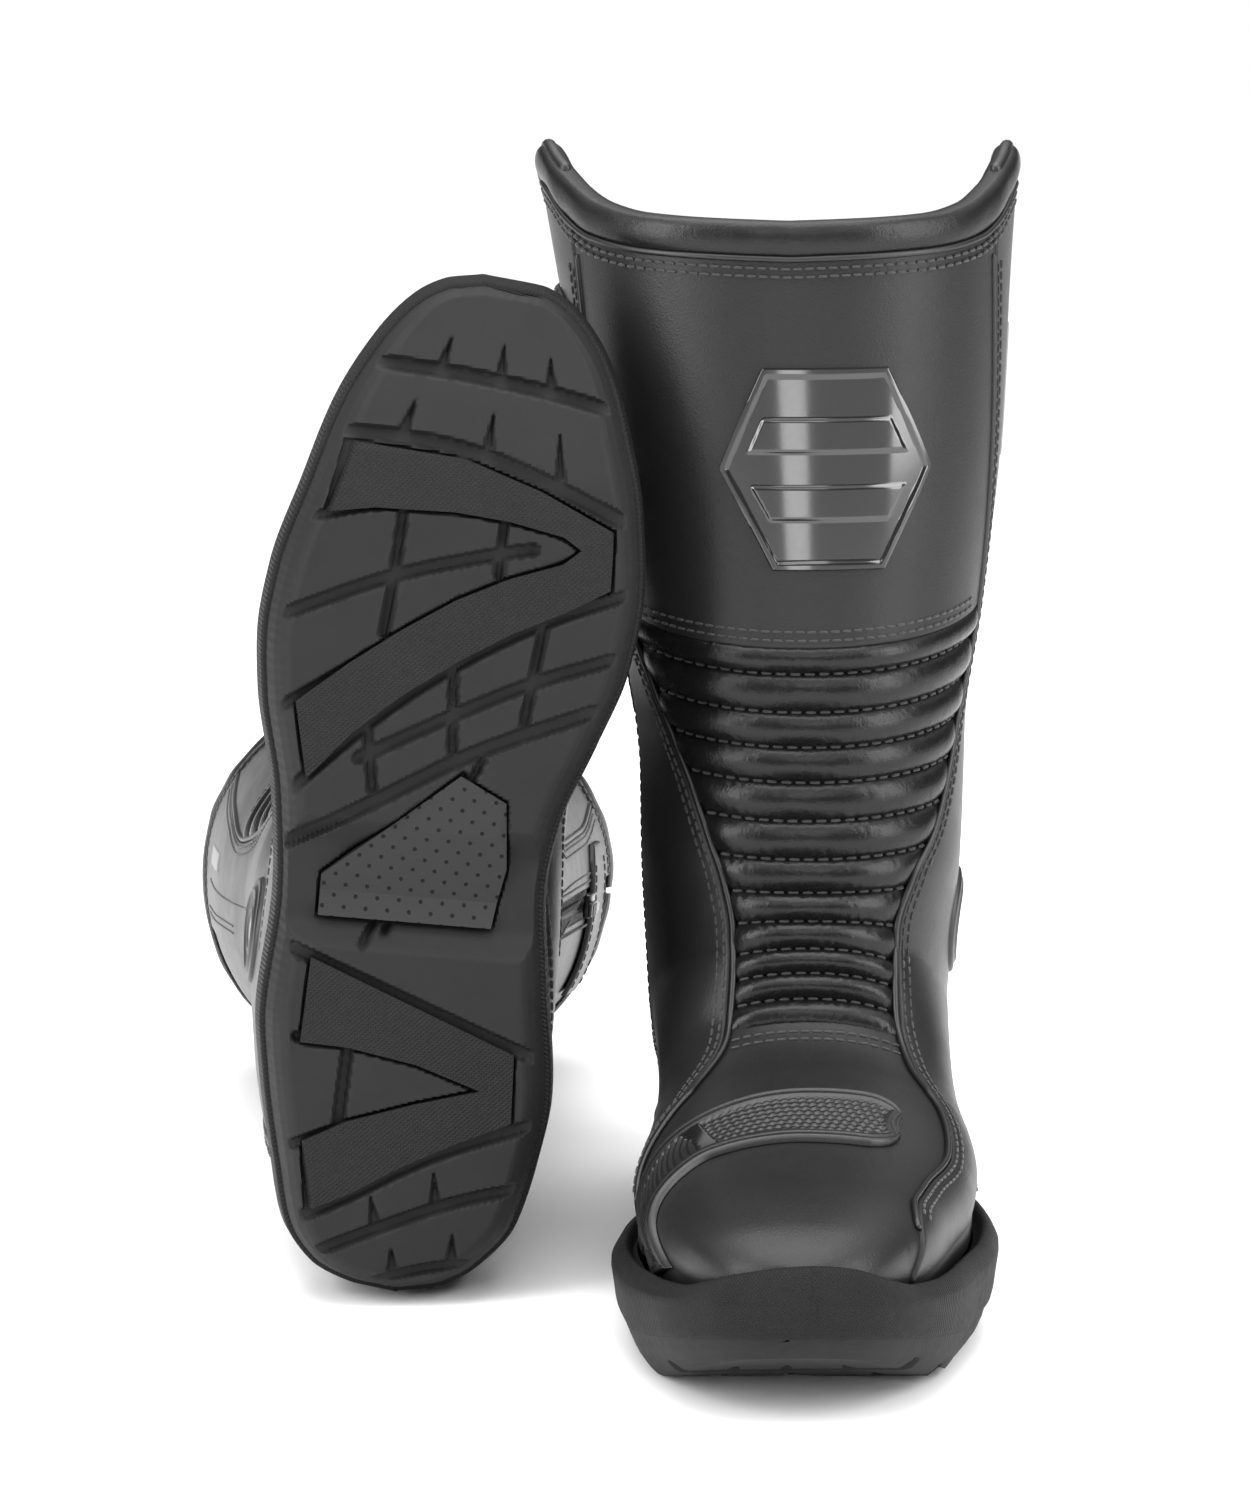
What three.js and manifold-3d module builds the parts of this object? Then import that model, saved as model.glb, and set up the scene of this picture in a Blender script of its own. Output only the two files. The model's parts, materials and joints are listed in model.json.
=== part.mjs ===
// A pair of touring motorcycle boots: the left one stands, the right one lies on its back beside it.
// Millimetres, +Z up. In a boot's own frame x points to the outer side of the foot, y is the distance
// behind the toe tip and z is the height over the ground.
import * as THREE from "three";
import { mergeVertices } from "three/addons/utils/BufferGeometryUtils.js";
import Module from "manifold-3d";

// Driving dimensions
const SOLE_LENGTH = 305;
const GAP = 0.35;
const RIM_INSET = 5.8;
const LASTING_CLEARANCE = 2;
const SKIN = 1.8;
const STIFFENER_TOP = -4.2;
const STIFFENER = 1.2;
const LINING_TOP = -6.9;
const LINING = 1.4;
const TOE_SPRING = 24;
const TOE_SPRING_LENGTH = 58;
const ARCH_LIFT = 7;
const INSERT_DEPTH = 3;
const BOARD_INSET = 11;
const FOOTBED_INSET = 15;
const ANKLE_Y = 208;
const ANKLE_Z = 99;
const ZIP_V = -0.5;
const ZIP_HALF_WIDTH = 0.024;
const ZIP_LOW = 220;
const ZIP_TOP = 312;
const BADGE_CENTRE = [302, 0.045];
const BADGE_HALF_HEIGHT = 30;
const BADGE_HALF_WIDTH = 29;
const GUARD_RADIUS = 17;

// The instep bend: sections fan round a line in front of the ankle, upright before it and level above it.
const FAN_Y = 120;
const FAN_Z = 124;
const FAN_LENGTH = 60;
const FAN_END = FAN_Y + FAN_LENGTH;

// Layout of the pair
const STANDING_X = 51.4;
const LYING_HEEL = [-68, 121];
const LYING_LEAN = -2.47;
const LYING_ROLL = 5.6;
const LYING_YAW = 3.6;

const wasm = await Module();
wasm.setup();

const clamp = THREE.MathUtils.clamp;
const lerp = THREE.MathUtils.lerp;

// A smooth curve through [position, value] pairs that never overshoots them.
function through(pairs) {
  const gaps = pairs.slice(1).map((pair, i) => pair[0] - pairs[i][0]);
  const slopes = pairs.slice(1).map((pair, i) => (pair[1] - pairs[i][1]) / gaps[i]);
  const tangents = pairs.map((_, i) => {
    if (i === 0) return slopes[0];
    if (i === slopes.length) return slopes[i - 1];
    const [a, b] = [slopes[i - 1], slopes[i]];
    return a * b > 0 ? (2 * a * b) / (a + b) : 0;
  });
  return (at) => {
    const x = clamp(at, pairs[0][0], pairs.at(-1)[0]);
    const i = Math.max(0, pairs.findLastIndex((pair, k) => k < gaps.length && pair[0] <= x));
    const t = (x - pairs[i][0]) / gaps[i];
    const bend = t * t * (3 - 2 * t);
    const lift = t * (1 - t) * gaps[i] * ((1 - t) * tangents[i] - t * tangents[i + 1]);
    return lerp(pairs[i][1], pairs[i + 1][1], bend) + lift;
  };
}

// The sole's plan: the distance of its outer and inner edge from the boot's long axis.
const lateralEdge = through([
  [0, 0], [2, 11], [8, 21], [20, 31], [40, 41.5], [64, 49], [89, 56], [108, 58], [126, 56.5],
  [156, 50], [188, 47], [220, 49], [240, 46.5], [268, 40.5], [285, 36], [297, 27], [303, 14], [305, 0],
]);
const medialEdge = through([
  [0, 0], [2, 19], [9, 30], [23, 40], [41, 46.6], [65, 52.8], [91, 55.5], [113, 53], [136, 45.5],
  [160, 37], [178, 34.7], [207, 37.8], [243, 42.3], [262, 40], [281, 35.5], [295, 25], [302, 14], [305, 0],
]);

// The edge moved in by a distance, as a disc of that radius would roll along its inside.
function inset(edge, distance) {
  const steps = [-1, -0.92, -0.75, -0.5, -0.25, 0, 0.25, 0.5, 0.75, 0.92, 1];
  return (y) => {
    const reach = (step) => {
      const at = y + step * distance;
      const inside = at >= 0 && at <= SOLE_LENGTH;
      return (inside ? edge(at) : 0) - distance * Math.sqrt(1 - step * step);
    };
    return Math.max(0.6, Math.min(...steps.map(reach)));
  };
}

// Heights along the foot
const toeLine = through([
  [0, 41], [6, 46], [12, 50.5], [22, 55], [40, 58.5], [60, 60.5], [80, 63.5], [105, 71], [120, 74.5],
]);
const rimTop = through([
  [0, 46], [5, 45], [12, 41.5], [22, 37.5], [40, 35], [90, 34], [240, 34], [290, 35.5], [305, 36.5],
]);
const ground = (y) => TOE_SPRING * Math.pow(Math.max(0, 1 - y / TOE_SPRING_LENGTH), 1.15);
const heelRise = through([[120, 0], [180, 1.5], [240, 3], [305, 3]]);
const lastBottom = (y) => 19.5 + heelRise(y) + 0.55 * ground(y);
const skinLowEdge = (y) => 29.5 + 0.32 * ground(y);
const LINING_RISE = 3;
const archLift = through([[160, 0], [172, ARCH_LIFT], [190, ARCH_LIFT], [199, 0]]);

// The upper's sections, by distance u along the instep: near and far are the distances of the front
// and the back from the bend's line, and the rest is their width to each side.
const bendNear = through([
  [120, 49.5], [140, 46], [150, 40], [160, 35.5], [170, 33.8], [180, 34], [210, 36.5], [220, 37],
  [225, 37.15], [400, 42.4],
]);
const bendFar = through([
  [120, 252], [150, 252], [155, 225], [160, 206], [165, 191.5], [170, 174], [175, 156.5], [180, 144.5],
  [200, 145.5], [220, 149], [225, 149.8], [400, 176],
]);
const bendLateral = through([
  [120, 51.5], [135, 48.5], [150, 47], [162, 47.5], [180, 50.5], [200, 51.5], [220, 52.2], [255, 57],
  [303, 62.5], [362, 65.5], [400, 68],
]);
const bendMedial = through([
  [120, 45.4], [135, 42.5], [150, 42], [162, 43], [180, 45], [205, 45.5], [220, 47], [225, 47.9],
  [400, 78.8],
]);
const ridge = through([[0, -4], [90, 0], [140, 3], [200, 3], [220, 2.6], [225, 2.4], [400, -4.5]]);
const widest = through([[6, 0.5], [40, 0.56], [100, 0.62], [130, 0.55], [160, 0.42], [180, 0.47], [220, 0.5]]);
const frontSquareness = through([[6, 2.6], [60, 2.4], [140, 2.2], [220, 2.15]]);
const backSquareness = through([[6, 3.5], [130, 4.5], [153, 4.5], [160.5, 2.7], [168, 2.5], [180, 2.3]]);
const footLateral = inset(lateralEdge, RIM_INSET);
const footMedial = inset(medialEdge, RIM_INSET);

// The lesser of two lengths, rounded off where they meet
function softLeast(a, b) {
  if (a <= 0) return a;
  return Math.pow(Math.pow(a, -SOFTNESS) + Math.pow(b, -SOFTNESS), -1 / SOFTNESS);
}

// Low down, the upper stays inside the rim of the sole; higher up it may stand over it.
const RIM_SPREAD_FROM = 36;
const RIM_SPREAD = 0.55;
const SOFTNESS = 10;

// Distances from the bend's line and half widths of the section at u
function section(u) {
  const turn = (clamp((u - FAN_Y) / FAN_LENGTH, 0, 1) * Math.PI) / 2;
  const foot = u < FAN_Y;
  const bottom = lastBottom(foot ? u : FAN_Y + FAN_Z * Math.tan(turn));
  return {
    turn,
    near: foot ? FAN_Z - toeLine(u) : bendNear(u),
    far: Math.min((FAN_Z - bottom) / Math.max(Math.cos(turn), 1e-6), bendFar(u)),
    lateral: foot ? footLateral(u) : bendLateral(u),
    medial: foot ? footMedial(u) : bendMedial(u),
  };
}

// A point on the boot's outer skin. v goes round the section: 0 is the front, 0.5 the outer side,
// -0.5 the inner side, and 1 or -1 the back.
function skinPoint(u, v) {
  const around = (v - 2 * Math.round(v / 2)) * Math.PI;
  const s = section(u);
  const c = Math.cos(around);
  const side = Math.sign(around) || 1;
  const sine = Math.abs(Math.sin(around));
  const power = c > 0 ? frontSquareness(u) : backSquareness(u);
  const reach = Math.pow(Math.pow(Math.abs(c), power) + Math.pow(sine, power), -1 / power);
  const middle = lerp(s.near, s.far, widest(u));
  const radius = middle - reach * c * (c > 0 ? middle - s.near : s.far - middle);
  const width = side > 0 ? s.lateral - ridge(u) : s.medial + ridge(u);
  const y = FAN_Y + radius * Math.sin(s.turn) + Math.min(u - FAN_Y, 0);
  const z = FAN_Z - radius * Math.cos(s.turn) + Math.max(u - FAN_END, 0);
  const spread = RIM_SPREAD * Math.max(0, z - RIM_SPREAD_FROM);
  const room = (side > 0 ? footLateral(y) : footMedial(y)) + spread;
  const free = side * ridge(u) + reach * sine * width;
  return new THREE.Vector3(side * softLeast(free, room), y, z);
}

// The outward direction of the skin, from its two tangents
function skinNormal(u, v) {
  const along = skinPoint(u + 0.6, v).sub(skinPoint(Math.max(u - 0.6, 0.2), v));
  const round = skinPoint(u, v + 0.004).sub(skinPoint(u, v - 0.004));
  return round.cross(along).normalize();
}

const offsetPoint = (u, v, offset) => skinPoint(u, v).addScaledVector(skinNormal(u, v), offset);

// Where the skin reaches a height: round the section at u, and along it at v
function bisect(low, high, isBelow) {
  let [a, b] = [low, high];
  for (let i = 0; i < 26; i++) {
    const middle = (a + b) / 2;
    if (isBelow(middle)) a = middle;
    else b = middle;
  }
  return (a + b) / 2;
}
const roundToHeight = (u, side, z) => side * bisect(0.25, 1, (v) => skinPoint(u, side * v).z > z);
const alongToHeight = (v, z) => bisect(124, 230, (u) => skinPoint(u, v).z < z);
const HEEL_CUP_START = 154;
const heelToHeight = (v, z) => bisect(HEEL_CUP_START, 230, (u) => skinPoint(u, v).z < z);

function geometryOf(points, faces) {
  const geometry = new THREE.BufferGeometry();
  const signed = faces.reduce((sum, [a, b, c]) => {
    return sum + points[a].dot(points[b].clone().cross(points[c]));
  }, 0);
  const index = signed < 0 ? faces.map(([a, b, c]) => [a, c, b]) : faces;
  geometry.setAttribute("position", new THREE.Float32BufferAttribute(points.flatMap((p) => p.toArray()), 3));
  geometry.setIndex(index.flat());
  return geometry;
}

// A closed slab over a grid of rows and columns: point(i, j, layer) gives its lower and upper face.
function slab(rows, columns, point) {
  const points = [];
  const at = (i, j, layer) => (layer * (rows + 1) + i) * (columns + 1) + j;
  for (const layer of [0, 1])
    for (let i = 0; i <= rows; i++)
      for (let j = 0; j <= columns; j++) points.push(point(i / rows, j / columns, layer));
  const faces = [];
  const quad = (a, b, c, d) => faces.push([a, b, c], [a, c, d]);
  for (let i = 0; i < rows; i++)
    for (let j = 0; j < columns; j++) {
      quad(at(i, j, 0), at(i, j + 1, 0), at(i + 1, j + 1, 0), at(i + 1, j, 0));
      quad(at(i, j, 1), at(i + 1, j, 1), at(i + 1, j + 1, 1), at(i, j + 1, 1));
    }
  for (let i = 0; i < rows; i++) {
    quad(at(i, 0, 0), at(i + 1, 0, 0), at(i + 1, 0, 1), at(i, 0, 1));
    quad(at(i, columns, 0), at(i, columns, 1), at(i + 1, columns, 1), at(i + 1, columns, 0));
  }
  for (let j = 0; j < columns; j++) {
    quad(at(0, j, 0), at(0, j, 1), at(0, j + 1, 1), at(0, j + 1, 0));
    quad(at(rows, j, 0), at(rows, j + 1, 0), at(rows, j + 1, 1), at(rows, j, 1));
  }
  return geometryOf(points, faces);
}

// A panel of the upper between two offsets of the skin. start and end are its limits along the boot,
// as functions of v; left and right its limits round it, as functions of u. Rows crowd towards the end.
function panel({ start, end, left, right, inner, outer, rows, columns, crowd = 1 }) {
  const limit = (bound, t) => {
    let u = bound(lerp(left(150), right(150), t));
    for (let i = 0; i < 12; i++) u = lerp(u, bound(lerp(left(u), right(u), t)), 0.7);
    return u;
  };
  const limits = new Map();
  const limitsAt = (t) => {
    if (!limits.has(t)) limits.set(t, [limit(start, t), limit(end, t)]);
    return limits.get(t);
  };
  return slab(rows, columns, (s, t, layer) => {
    const [low, high] = limitsAt(t);
    const u = lerp(high, low, Math.pow(1 - s, crowd));
    return offsetPoint(u, lerp(left(u), right(u), t), layer ? outer : inner);
  });
}

// Booleans
function solidOf(geometry) {
  const bare = new THREE.BufferGeometry();
  bare.setAttribute("position", geometry.getAttribute("position"));
  if (geometry.index) bare.setIndex(geometry.index);
  const merged = mergeVertices(bare, 1e-3);
  return new wasm.Manifold(
    new wasm.Mesh({
      numProp: 3,
      vertProperties: merged.attributes.position.array,
      triVerts: new Uint32Array(merged.index.array),
    }),
  );
}

function geometryFrom(solid) {
  const mesh = solid.getMesh();
  const geometry = new THREE.BufferGeometry();
  geometry.setAttribute("position", new THREE.BufferAttribute(mesh.vertProperties, 3));
  geometry.setIndex(new THREE.BufferAttribute(mesh.triVerts, 1));
  return geometry;
}

// An upright prism over a plan outline
function prism(outline, low, high) {
  const shape = new THREE.Shape(outline.map(([x, y]) => new THREE.Vector2(x, y)));
  const geometry = new THREE.ExtrudeGeometry(shape, { depth: high - low, bevelEnabled: false });
  return geometry.translate(0, 0, low);
}

// A plan outline grown by a distance, each side moved along its own normal
function grown(outline, distance) {
  const turn = THREE.ShapeUtils.isClockWise(outline.map(([x, y]) => new THREE.Vector2(x, y))) ? -1 : 1;
  const count = outline.length;
  const normal = (i) => {
    const [a, b] = [outline[i % count], outline[(i + 1) % count]];
    const length = Math.hypot(b[0] - a[0], b[1] - a[1]);
    return [(turn * (b[1] - a[1])) / length, (-turn * (b[0] - a[0])) / length];
  };
  return outline.map(([x, y], i) => {
    const [m, n] = [normal(i + count - 1), normal(i)];
    const scale = distance / (1 + m[0] * n[0] + m[1] * n[1]);
    return [x + (m[0] + n[0]) * scale, y + (m[1] + n[1]) * scale];
  });
}

// Sole unit
const SOLE_RINGS = [
  { inset: 11, height: (y) => ground(y) + archLift(y) },
  { inset: 7.5, height: (y) => ground(y) + Math.max(7, archLift(y) + 1) },
  { inset: 3, height: (y) => 15 + 0.8 * ground(y) },
  { inset: 0, height: (y) => 25 + 0.6 * ground(y) },
  { inset: 1, height: (y) => rimTop(y) - 1.6 },
  { inset: 2.4, height: (y) => rimTop(y) },
];

function soleRing({ inset: distance, height }) {
  const steps = 22;
  const [lateral, medial] = distance
    ? [inset(lateralEdge, distance), inset(medialEdge, distance)]
    : [lateralEdge, medialEdge];
  const ring = [];
  for (let i = 0; i < 2 * steps; i++) {
    const angle = ((i + 0.5) / steps) * Math.PI;
    const along = (1 - Math.cos(angle)) / 2;
    const y = lerp(distance, SOLE_LENGTH - distance, along);
    const x = i < steps ? lateral(y) : -medial(y);
    ring.push(new THREE.Vector3(x, y, height(y)));
  }
  return ring;
}

function soleBlock() {
  const rings = SOLE_RINGS.map(soleRing);
  const count = rings[0].length;
  const points = rings.flat();
  const faces = [];
  for (let level = 0; level + 1 < rings.length; level++)
    for (let i = 0; i < count; i++) {
      const [a, b] = [level * count + i, level * count + ((i + 1) % count)];
      faces.push([a, b, b + count], [a, b + count, a + count]);
    }
  // Caps: rungs between the points of the two sides that face each other
  const rungs = count / 2;
  for (const base of [0, (rings.length - 1) * count]) {
    for (let i = 0; i + 1 < rungs; i++) {
      const [a, b] = [base + i, base + i + 1];
      const [c, d] = [base + count - 1 - i, base + count - 2 - i];
      const quad = [[a, d, b], [a, c, d]];
      faces.push(...(base ? quad.map((f) => [f[0], f[2], f[1]]) : quad));
    }
  }
  return geometryOf(points, faces);
}

// The room that the lasted upper takes in the sole
function lastedRoom() {
  const rows = [6.2, 8, 12, 20, 30, 45, 65, 85, 105, 122, 132, 139, 145, 150, 153.5, 156.5, 159, 160.3, 162, 166, 172];
  const columns = 32;
  const points = rows.flatMap((u) => {
    return Array.from({ length: columns }, (_, j) => offsetPoint(u, (2 * j) / columns - 1, LASTING_CLEARANCE));
  });
  const faces = [];
  for (let i = 0; i + 1 < rows.length; i++)
    for (let j = 0; j < columns; j++) {
      const [a, b] = [i * columns + j, i * columns + ((j + 1) % columns)];
      faces.push([a, b, b + columns], [a, b + columns, a + columns]);
    }
  for (const [base, flip] of [[0, false], [(rows.length - 1) * columns, true]]) {
    const ends = THREE.ShapeUtils.triangulateShape(
      Array.from({ length: columns }, (_, j) => {
        const angle = (2 * Math.PI * j) / columns;
        return new THREE.Vector2(Math.cos(angle), Math.sin(angle));
      }),
      [],
    );
    faces.push(...ends.map(([a, b, c]) => (flip ? [a, b, c] : [a, c, b]).map((k) => k + base)));
  }
  return geometryOf(points, faces);
}

// Plan outlines of the pieces let into the tread, as [x, y]
const FOREFOOT_INSERT = [
  [37, 50], [2, 52.5], [-21, 60], [-43, 70], [-43.5, 87], [-31, 94.5], [-16, 102], [-1, 111.5], [14, 122.5],
  [28, 135], [40, 149.5], [45, 127], [30.5, 114.5], [16, 103.5], [1, 93.5], [-14, 86], [-29, 80.5],
  [-34, 76], [-28.5, 72.5], [-12.5, 69.4], [3.5, 68], [27, 68.6], [41, 71],
];
const HEEL_INSERT = [
  [34, 202], [-28, 226.5], [-29, 247], [-13, 254.5], [2, 262.5], [17, 272], [29, 278], [32, 257],
  [19, 250], [-0.6, 243.3], [-19, 238], [0.5, 231.6], [21, 228], [35, 227.5],
];
const ARCH_PLATE = [[33, 178], [-5, 145], [-19, 152], [-21, 172], [-18, 190], [33, 190]];
const SHANK = { x: [-6, 14], y: [138, 236], z: [16.2, 18] };

// What an outline takes out of the tread, down to a depth above the tread's own face
function treadCut(outline, depth) {
  const layer = slab(32, 1, (s, t, top) => {
    const y = lerp(-5, SOLE_LENGTH + 5, s);
    return new THREE.Vector3(lerp(-80, 80, t), y, top ? ground(y) + depth : -30);
  });
  return solidOf(prism(outline, -20, 60)).intersect(solidOf(layer));
}

// A level sheet inside the upper, over the last's bottom
function innerSole(insetBy, low, high) {
  const [lateral, medial] = [inset(lateralEdge, insetBy), inset(medialEdge, insetBy)];
  return slab(12, 2, (s, t, layer) => {
    const y = lerp(insetBy + 1, SOLE_LENGTH - insetBy - 1, (1 - Math.cos(s * Math.PI)) / 2);
    return new THREE.Vector3(lerp(-medial(y), lateral(y), t), y, lastBottom(y) + (layer ? high : low));
  });
}

function shankGeometry() {
  const { x, y, z } = SHANK;
  const geometry = new THREE.BoxGeometry(x[1] - x[0], y[1] - y[0], z[1] - z[0]);
  return geometry.translate((x[0] + x[1]) / 2, (y[0] + y[1]) / 2, (z[0] + z[1]) / 2);
}

// Seams of the upper
const soleLine = (side) => (u) => roundToHeight(u, side, skinLowEdge(u));
const liningLine = (side) => (u) => roundToHeight(u, side, skinLowEdge(u) + LINING_RISE);
const lateralSeamCurve = through([
  [24, 0.75], [30, 0.46], [38, 0.31], [50, 0.265], [65, 0.27], [90, 0.293], [112, 0.268], [130, 0.215], [145, 0.2],
  [165, 0.2], [178, 0.228], [190, 0.285], [203, 0.325], [220, 0.37], [236, 0.4], [256, 0.415], [295, 0.385],
  [325, 0.37], [350, 0.355], [363, 0.345],
]);
const medialSeamCurve = through([
  [68, -0.75], [76, -0.5], [90, -0.4], [105, -0.32], [120, -0.245], [138, -0.172], [165, -0.156], [178, -0.17],
  [190, -0.2], [203, -0.235], [218, -0.28], [234, -0.325], [254, -0.372], [310, -0.372], [363, -0.345],
]);
const vampLateral = (u) => Math.min(lateralSeamCurve(u), soleLine(1)(u));
const vampMedial = (u) => Math.max(medialSeamCurve(u), soleLine(-1)(u));
const COLLAR_GAP = 2;
const seamV = 0.0026;
const HEEL_SEAM = 0.71;
const CALF_SEAM = 0.6;
const flexLow = () => 138;
const flexTop = (v) => 249.5 + 42 * v * v;
const collarSeam = (v) => collarSeamCurve(Math.abs(v - 2 * Math.round(v / 2)));
const collarTop = (v) => collarTopCurve(Math.abs(v - 2 * Math.round(v / 2)));
const collarSeamCurve = through([
  [0, 363.3], [0.2, 365], [0.3, 368], [0.36, 373], [0.42, 380], [0.47, 382], [0.56, 374], [0.7, 356], [1, 345],
]);
const collarTopCurve = through([
  [0, 375], [0.2, 376.5], [0.27, 379], [0.33, 384], [0.39, 390], [0.44, 394], [0.48, 393], [0.56, 386], [0.7, 368],
  [1, 357],
]);
// The soft band round the ankle lies between these two lines.
const bandLowHeight = through([[0.15, 81], [0.4, 79], [0.66, 83], [1, 87]]);
const bandLow = (v) => alongToHeight(v, bandLowHeight(Math.abs(v - 2 * Math.round(v / 2))));
const bandTop = () => 205;
const shifted = (curve, by) => (at) => curve(at) + by;
const fixed = (value) => () => value;
const least = (a, b) => (at) => Math.min(a(at), b(at));
const most = (a, b) => (at) => Math.max(a(at), b(at));

const skin = { inner: -SKIN, outer: 0 };
const stiffener = { inner: STIFFENER_TOP - STIFFENER, outer: STIFFENER_TOP };
const lining = { inner: LINING_TOP - LINING, outer: LINING_TOP };
const half = GAP / 2;

const vamp = () => panel({
  ...skin, rows: 12, columns: 10, start: fixed(6.5), end: shifted(flexLow, -half),
  left: shifted(vampMedial, seamV), right: shifted(vampLateral, -2 * seamV),
});
const lateralQuarter = () => panel({
  ...skin, rows: 11, columns: 4, crowd: 1.8, start: fixed(31), end: shifted(bandLow, -2 * GAP),
  left: shifted(lateralSeamCurve, 2 * seamV), right: least(soleLine(1), fixed(HEEL_SEAM - 5 * seamV)),
});
const medialQuarter = () => panel({
  ...skin, rows: 9, columns: 4, crowd: 1.8, start: fixed(84), end: shifted(bandLow, -2 * GAP),
  left: most(soleLine(-1), fixed(-HEEL_SEAM + 5 * seamV)), right: shifted(medialSeamCurve, -2 * seamV),
});
const heelPanel = () => panel({
  ...skin, rows: 7, columns: 14, start: (v) => heelToHeight(v, skinLowEdge(SOLE_LENGTH) + 2), end: shifted(bandLow, -half),
  left: fixed(HEEL_SEAM + 5 * seamV), right: fixed(2 - HEEL_SEAM - 5 * seamV),
});
const flexPanel = () => panel({
  ...skin, rows: 10, columns: 5, start: shifted(flexLow, half), end: shifted(flexTop, -half),
  left: shifted(medialSeamCurve, seamV), right: shifted(lateralSeamCurve, -seamV),
});
const anklePanel = () => panel({
  ...skin, rows: 4, columns: 18, start: shifted(bandLow, half), end: shifted(bandTop, -half),
  left: shifted(lateralSeamCurve, seamV), right: (u) => 2 + medialSeamCurve(u) - seamV,
});
const shinPanel = () => panel({
  ...skin, rows: 4, columns: 8, start: shifted(flexTop, half), end: shifted(collarSeam, -COLLAR_GAP),
  left: shifted(medialSeamCurve, seamV), right: shifted(lateralSeamCurve, -seamV),
});
const lateralShaftPanel = () => panel({
  ...skin, rows: 9, columns: 3, start: shifted(bandTop, half), end: shifted(collarSeam, -COLLAR_GAP),
  left: shifted(lateralSeamCurve, 2 * seamV), right: fixed(CALF_SEAM - seamV),
});
const medialShaftPanel = () => panel({
  ...skin, rows: 9, columns: 2, start: shifted(bandTop, half), end: shifted(collarSeam, -COLLAR_GAP),
  left: fixed(ZIP_V + ZIP_HALF_WIDTH + seamV), right: shifted(medialSeamCurve, -2 * seamV),
});
const calfPanel = () => panel({
  ...skin, rows: 4, columns: 12, start: shifted(bandTop, half), end: shifted(collarSeam, -COLLAR_GAP),
  left: fixed(CALF_SEAM + seamV), right: fixed(2 + ZIP_V - ZIP_HALF_WIDTH - 2 * seamV),
});
const zipChain = () => panel({
  inner: -SKIN, outer: 0.5, rows: 4, columns: 2, start: fixed(ZIP_LOW), end: fixed(ZIP_TOP),
  left: fixed(ZIP_V - ZIP_HALF_WIDTH + seamV), right: fixed(ZIP_V + ZIP_HALF_WIDTH - seamV),
});
const collarPad = () => panel({
  inner: -4.6, outer: 2.2, rows: 2, columns: 26, start: shifted(collarSeam, half), end: collarTop,
  left: fixed(ZIP_V + 0.004), right: fixed(2 + ZIP_V - 0.004),
});
const toePuff = () => panel({
  ...stiffener, rows: 6, columns: 10, start: fixed(14), end: fixed(62),
  left: shifted(soleLine(-1), 0.06), right: shifted(soleLine(1), -0.06),
});
const heelCounter = () => panel({
  inner: LINING_TOP - LINING, outer: LINING_TOP, rows: 5, columns: 12, start: (v) => heelToHeight(v, skinLowEdge(SOLE_LENGTH) + 2 * LINING_RISE),
  end: (v) => alongToHeight(v, 73), left: fixed(HEEL_SEAM + seamV), right: fixed(2 - HEEL_SEAM - seamV),
});
const shinGuard = () => panel({
  ...stiffener, rows: 4, columns: 8, start: fixed(262), end: fixed(356), left: fixed(-0.3), right: fixed(0.3),
});
const footLining = () => panel({
  ...lining, rows: 8, columns: 8, start: fixed(20), end: (v) => Math.min(bandLow(v), 138) - 1,
  left: liningLine(-1), right: liningLine(1),
});
const shaftLining = () => panel({
  ...lining, rows: 3, columns: 18, start: fixed(207), end: (v) => collarSeam(v) - 1,
  left: fixed(ZIP_V + 0.006), right: fixed(2 + ZIP_V - 0.006),
});

// The badge: a hexagon with its points to the sides, on the shin panel
function badge() {
  const [centre, middle] = BADGE_CENTRE;
  const halfWidth = (u) => {
    const slope = 1 - 0.45 * Math.abs(u - centre) / BADGE_HALF_HEIGHT;
    return (BADGE_HALF_WIDTH * slope) / 175;
  };
  return panel({
    inner: 0.6, outer: 2, rows: 4, columns: 8, start: fixed(centre - BADGE_HALF_HEIGHT),
    end: fixed(centre + BADGE_HALF_HEIGHT), left: (u) => middle - halfWidth(u), right: (u) => middle + halfWidth(u),
  });
}

// The shift pad runs over the toe and down its inner side. Its middle line is [u, v] by distance along it.
function shiftPad() {
  const middleU = through([[0, 91], [0.35, 91], [0.6, 85], [0.8, 73], [1, 60]]);
  const middleV = through([[0, 0.17], [0.35, 0], [0.6, -0.2], [0.8, -0.33], [1, -0.47]]);
  const halfWidth = through([[0, 4], [0.04, 10], [0.1, 13.5], [0.35, 14], [0.8, 11], [1, 9]]);
  const roundScale = 130;
  return slab(14, 3, (s, t, layer) => {
    const [a, b] = [Math.max(s - 0.01, 0), Math.min(s + 0.01, 1)];
    const along = [middleU(b) - middleU(a), roundScale * (middleV(b) - middleV(a))];
    const length = Math.hypot(...along);
    const across = (2 * t - 1) * halfWidth(s);
    const u = middleU(s) - (across * along[1]) / length;
    const v = middleV(s) + (across * along[0]) / length / roundScale;
    return offsetPoint(u, v, layer ? 3.8 : 1);
  });
}

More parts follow.
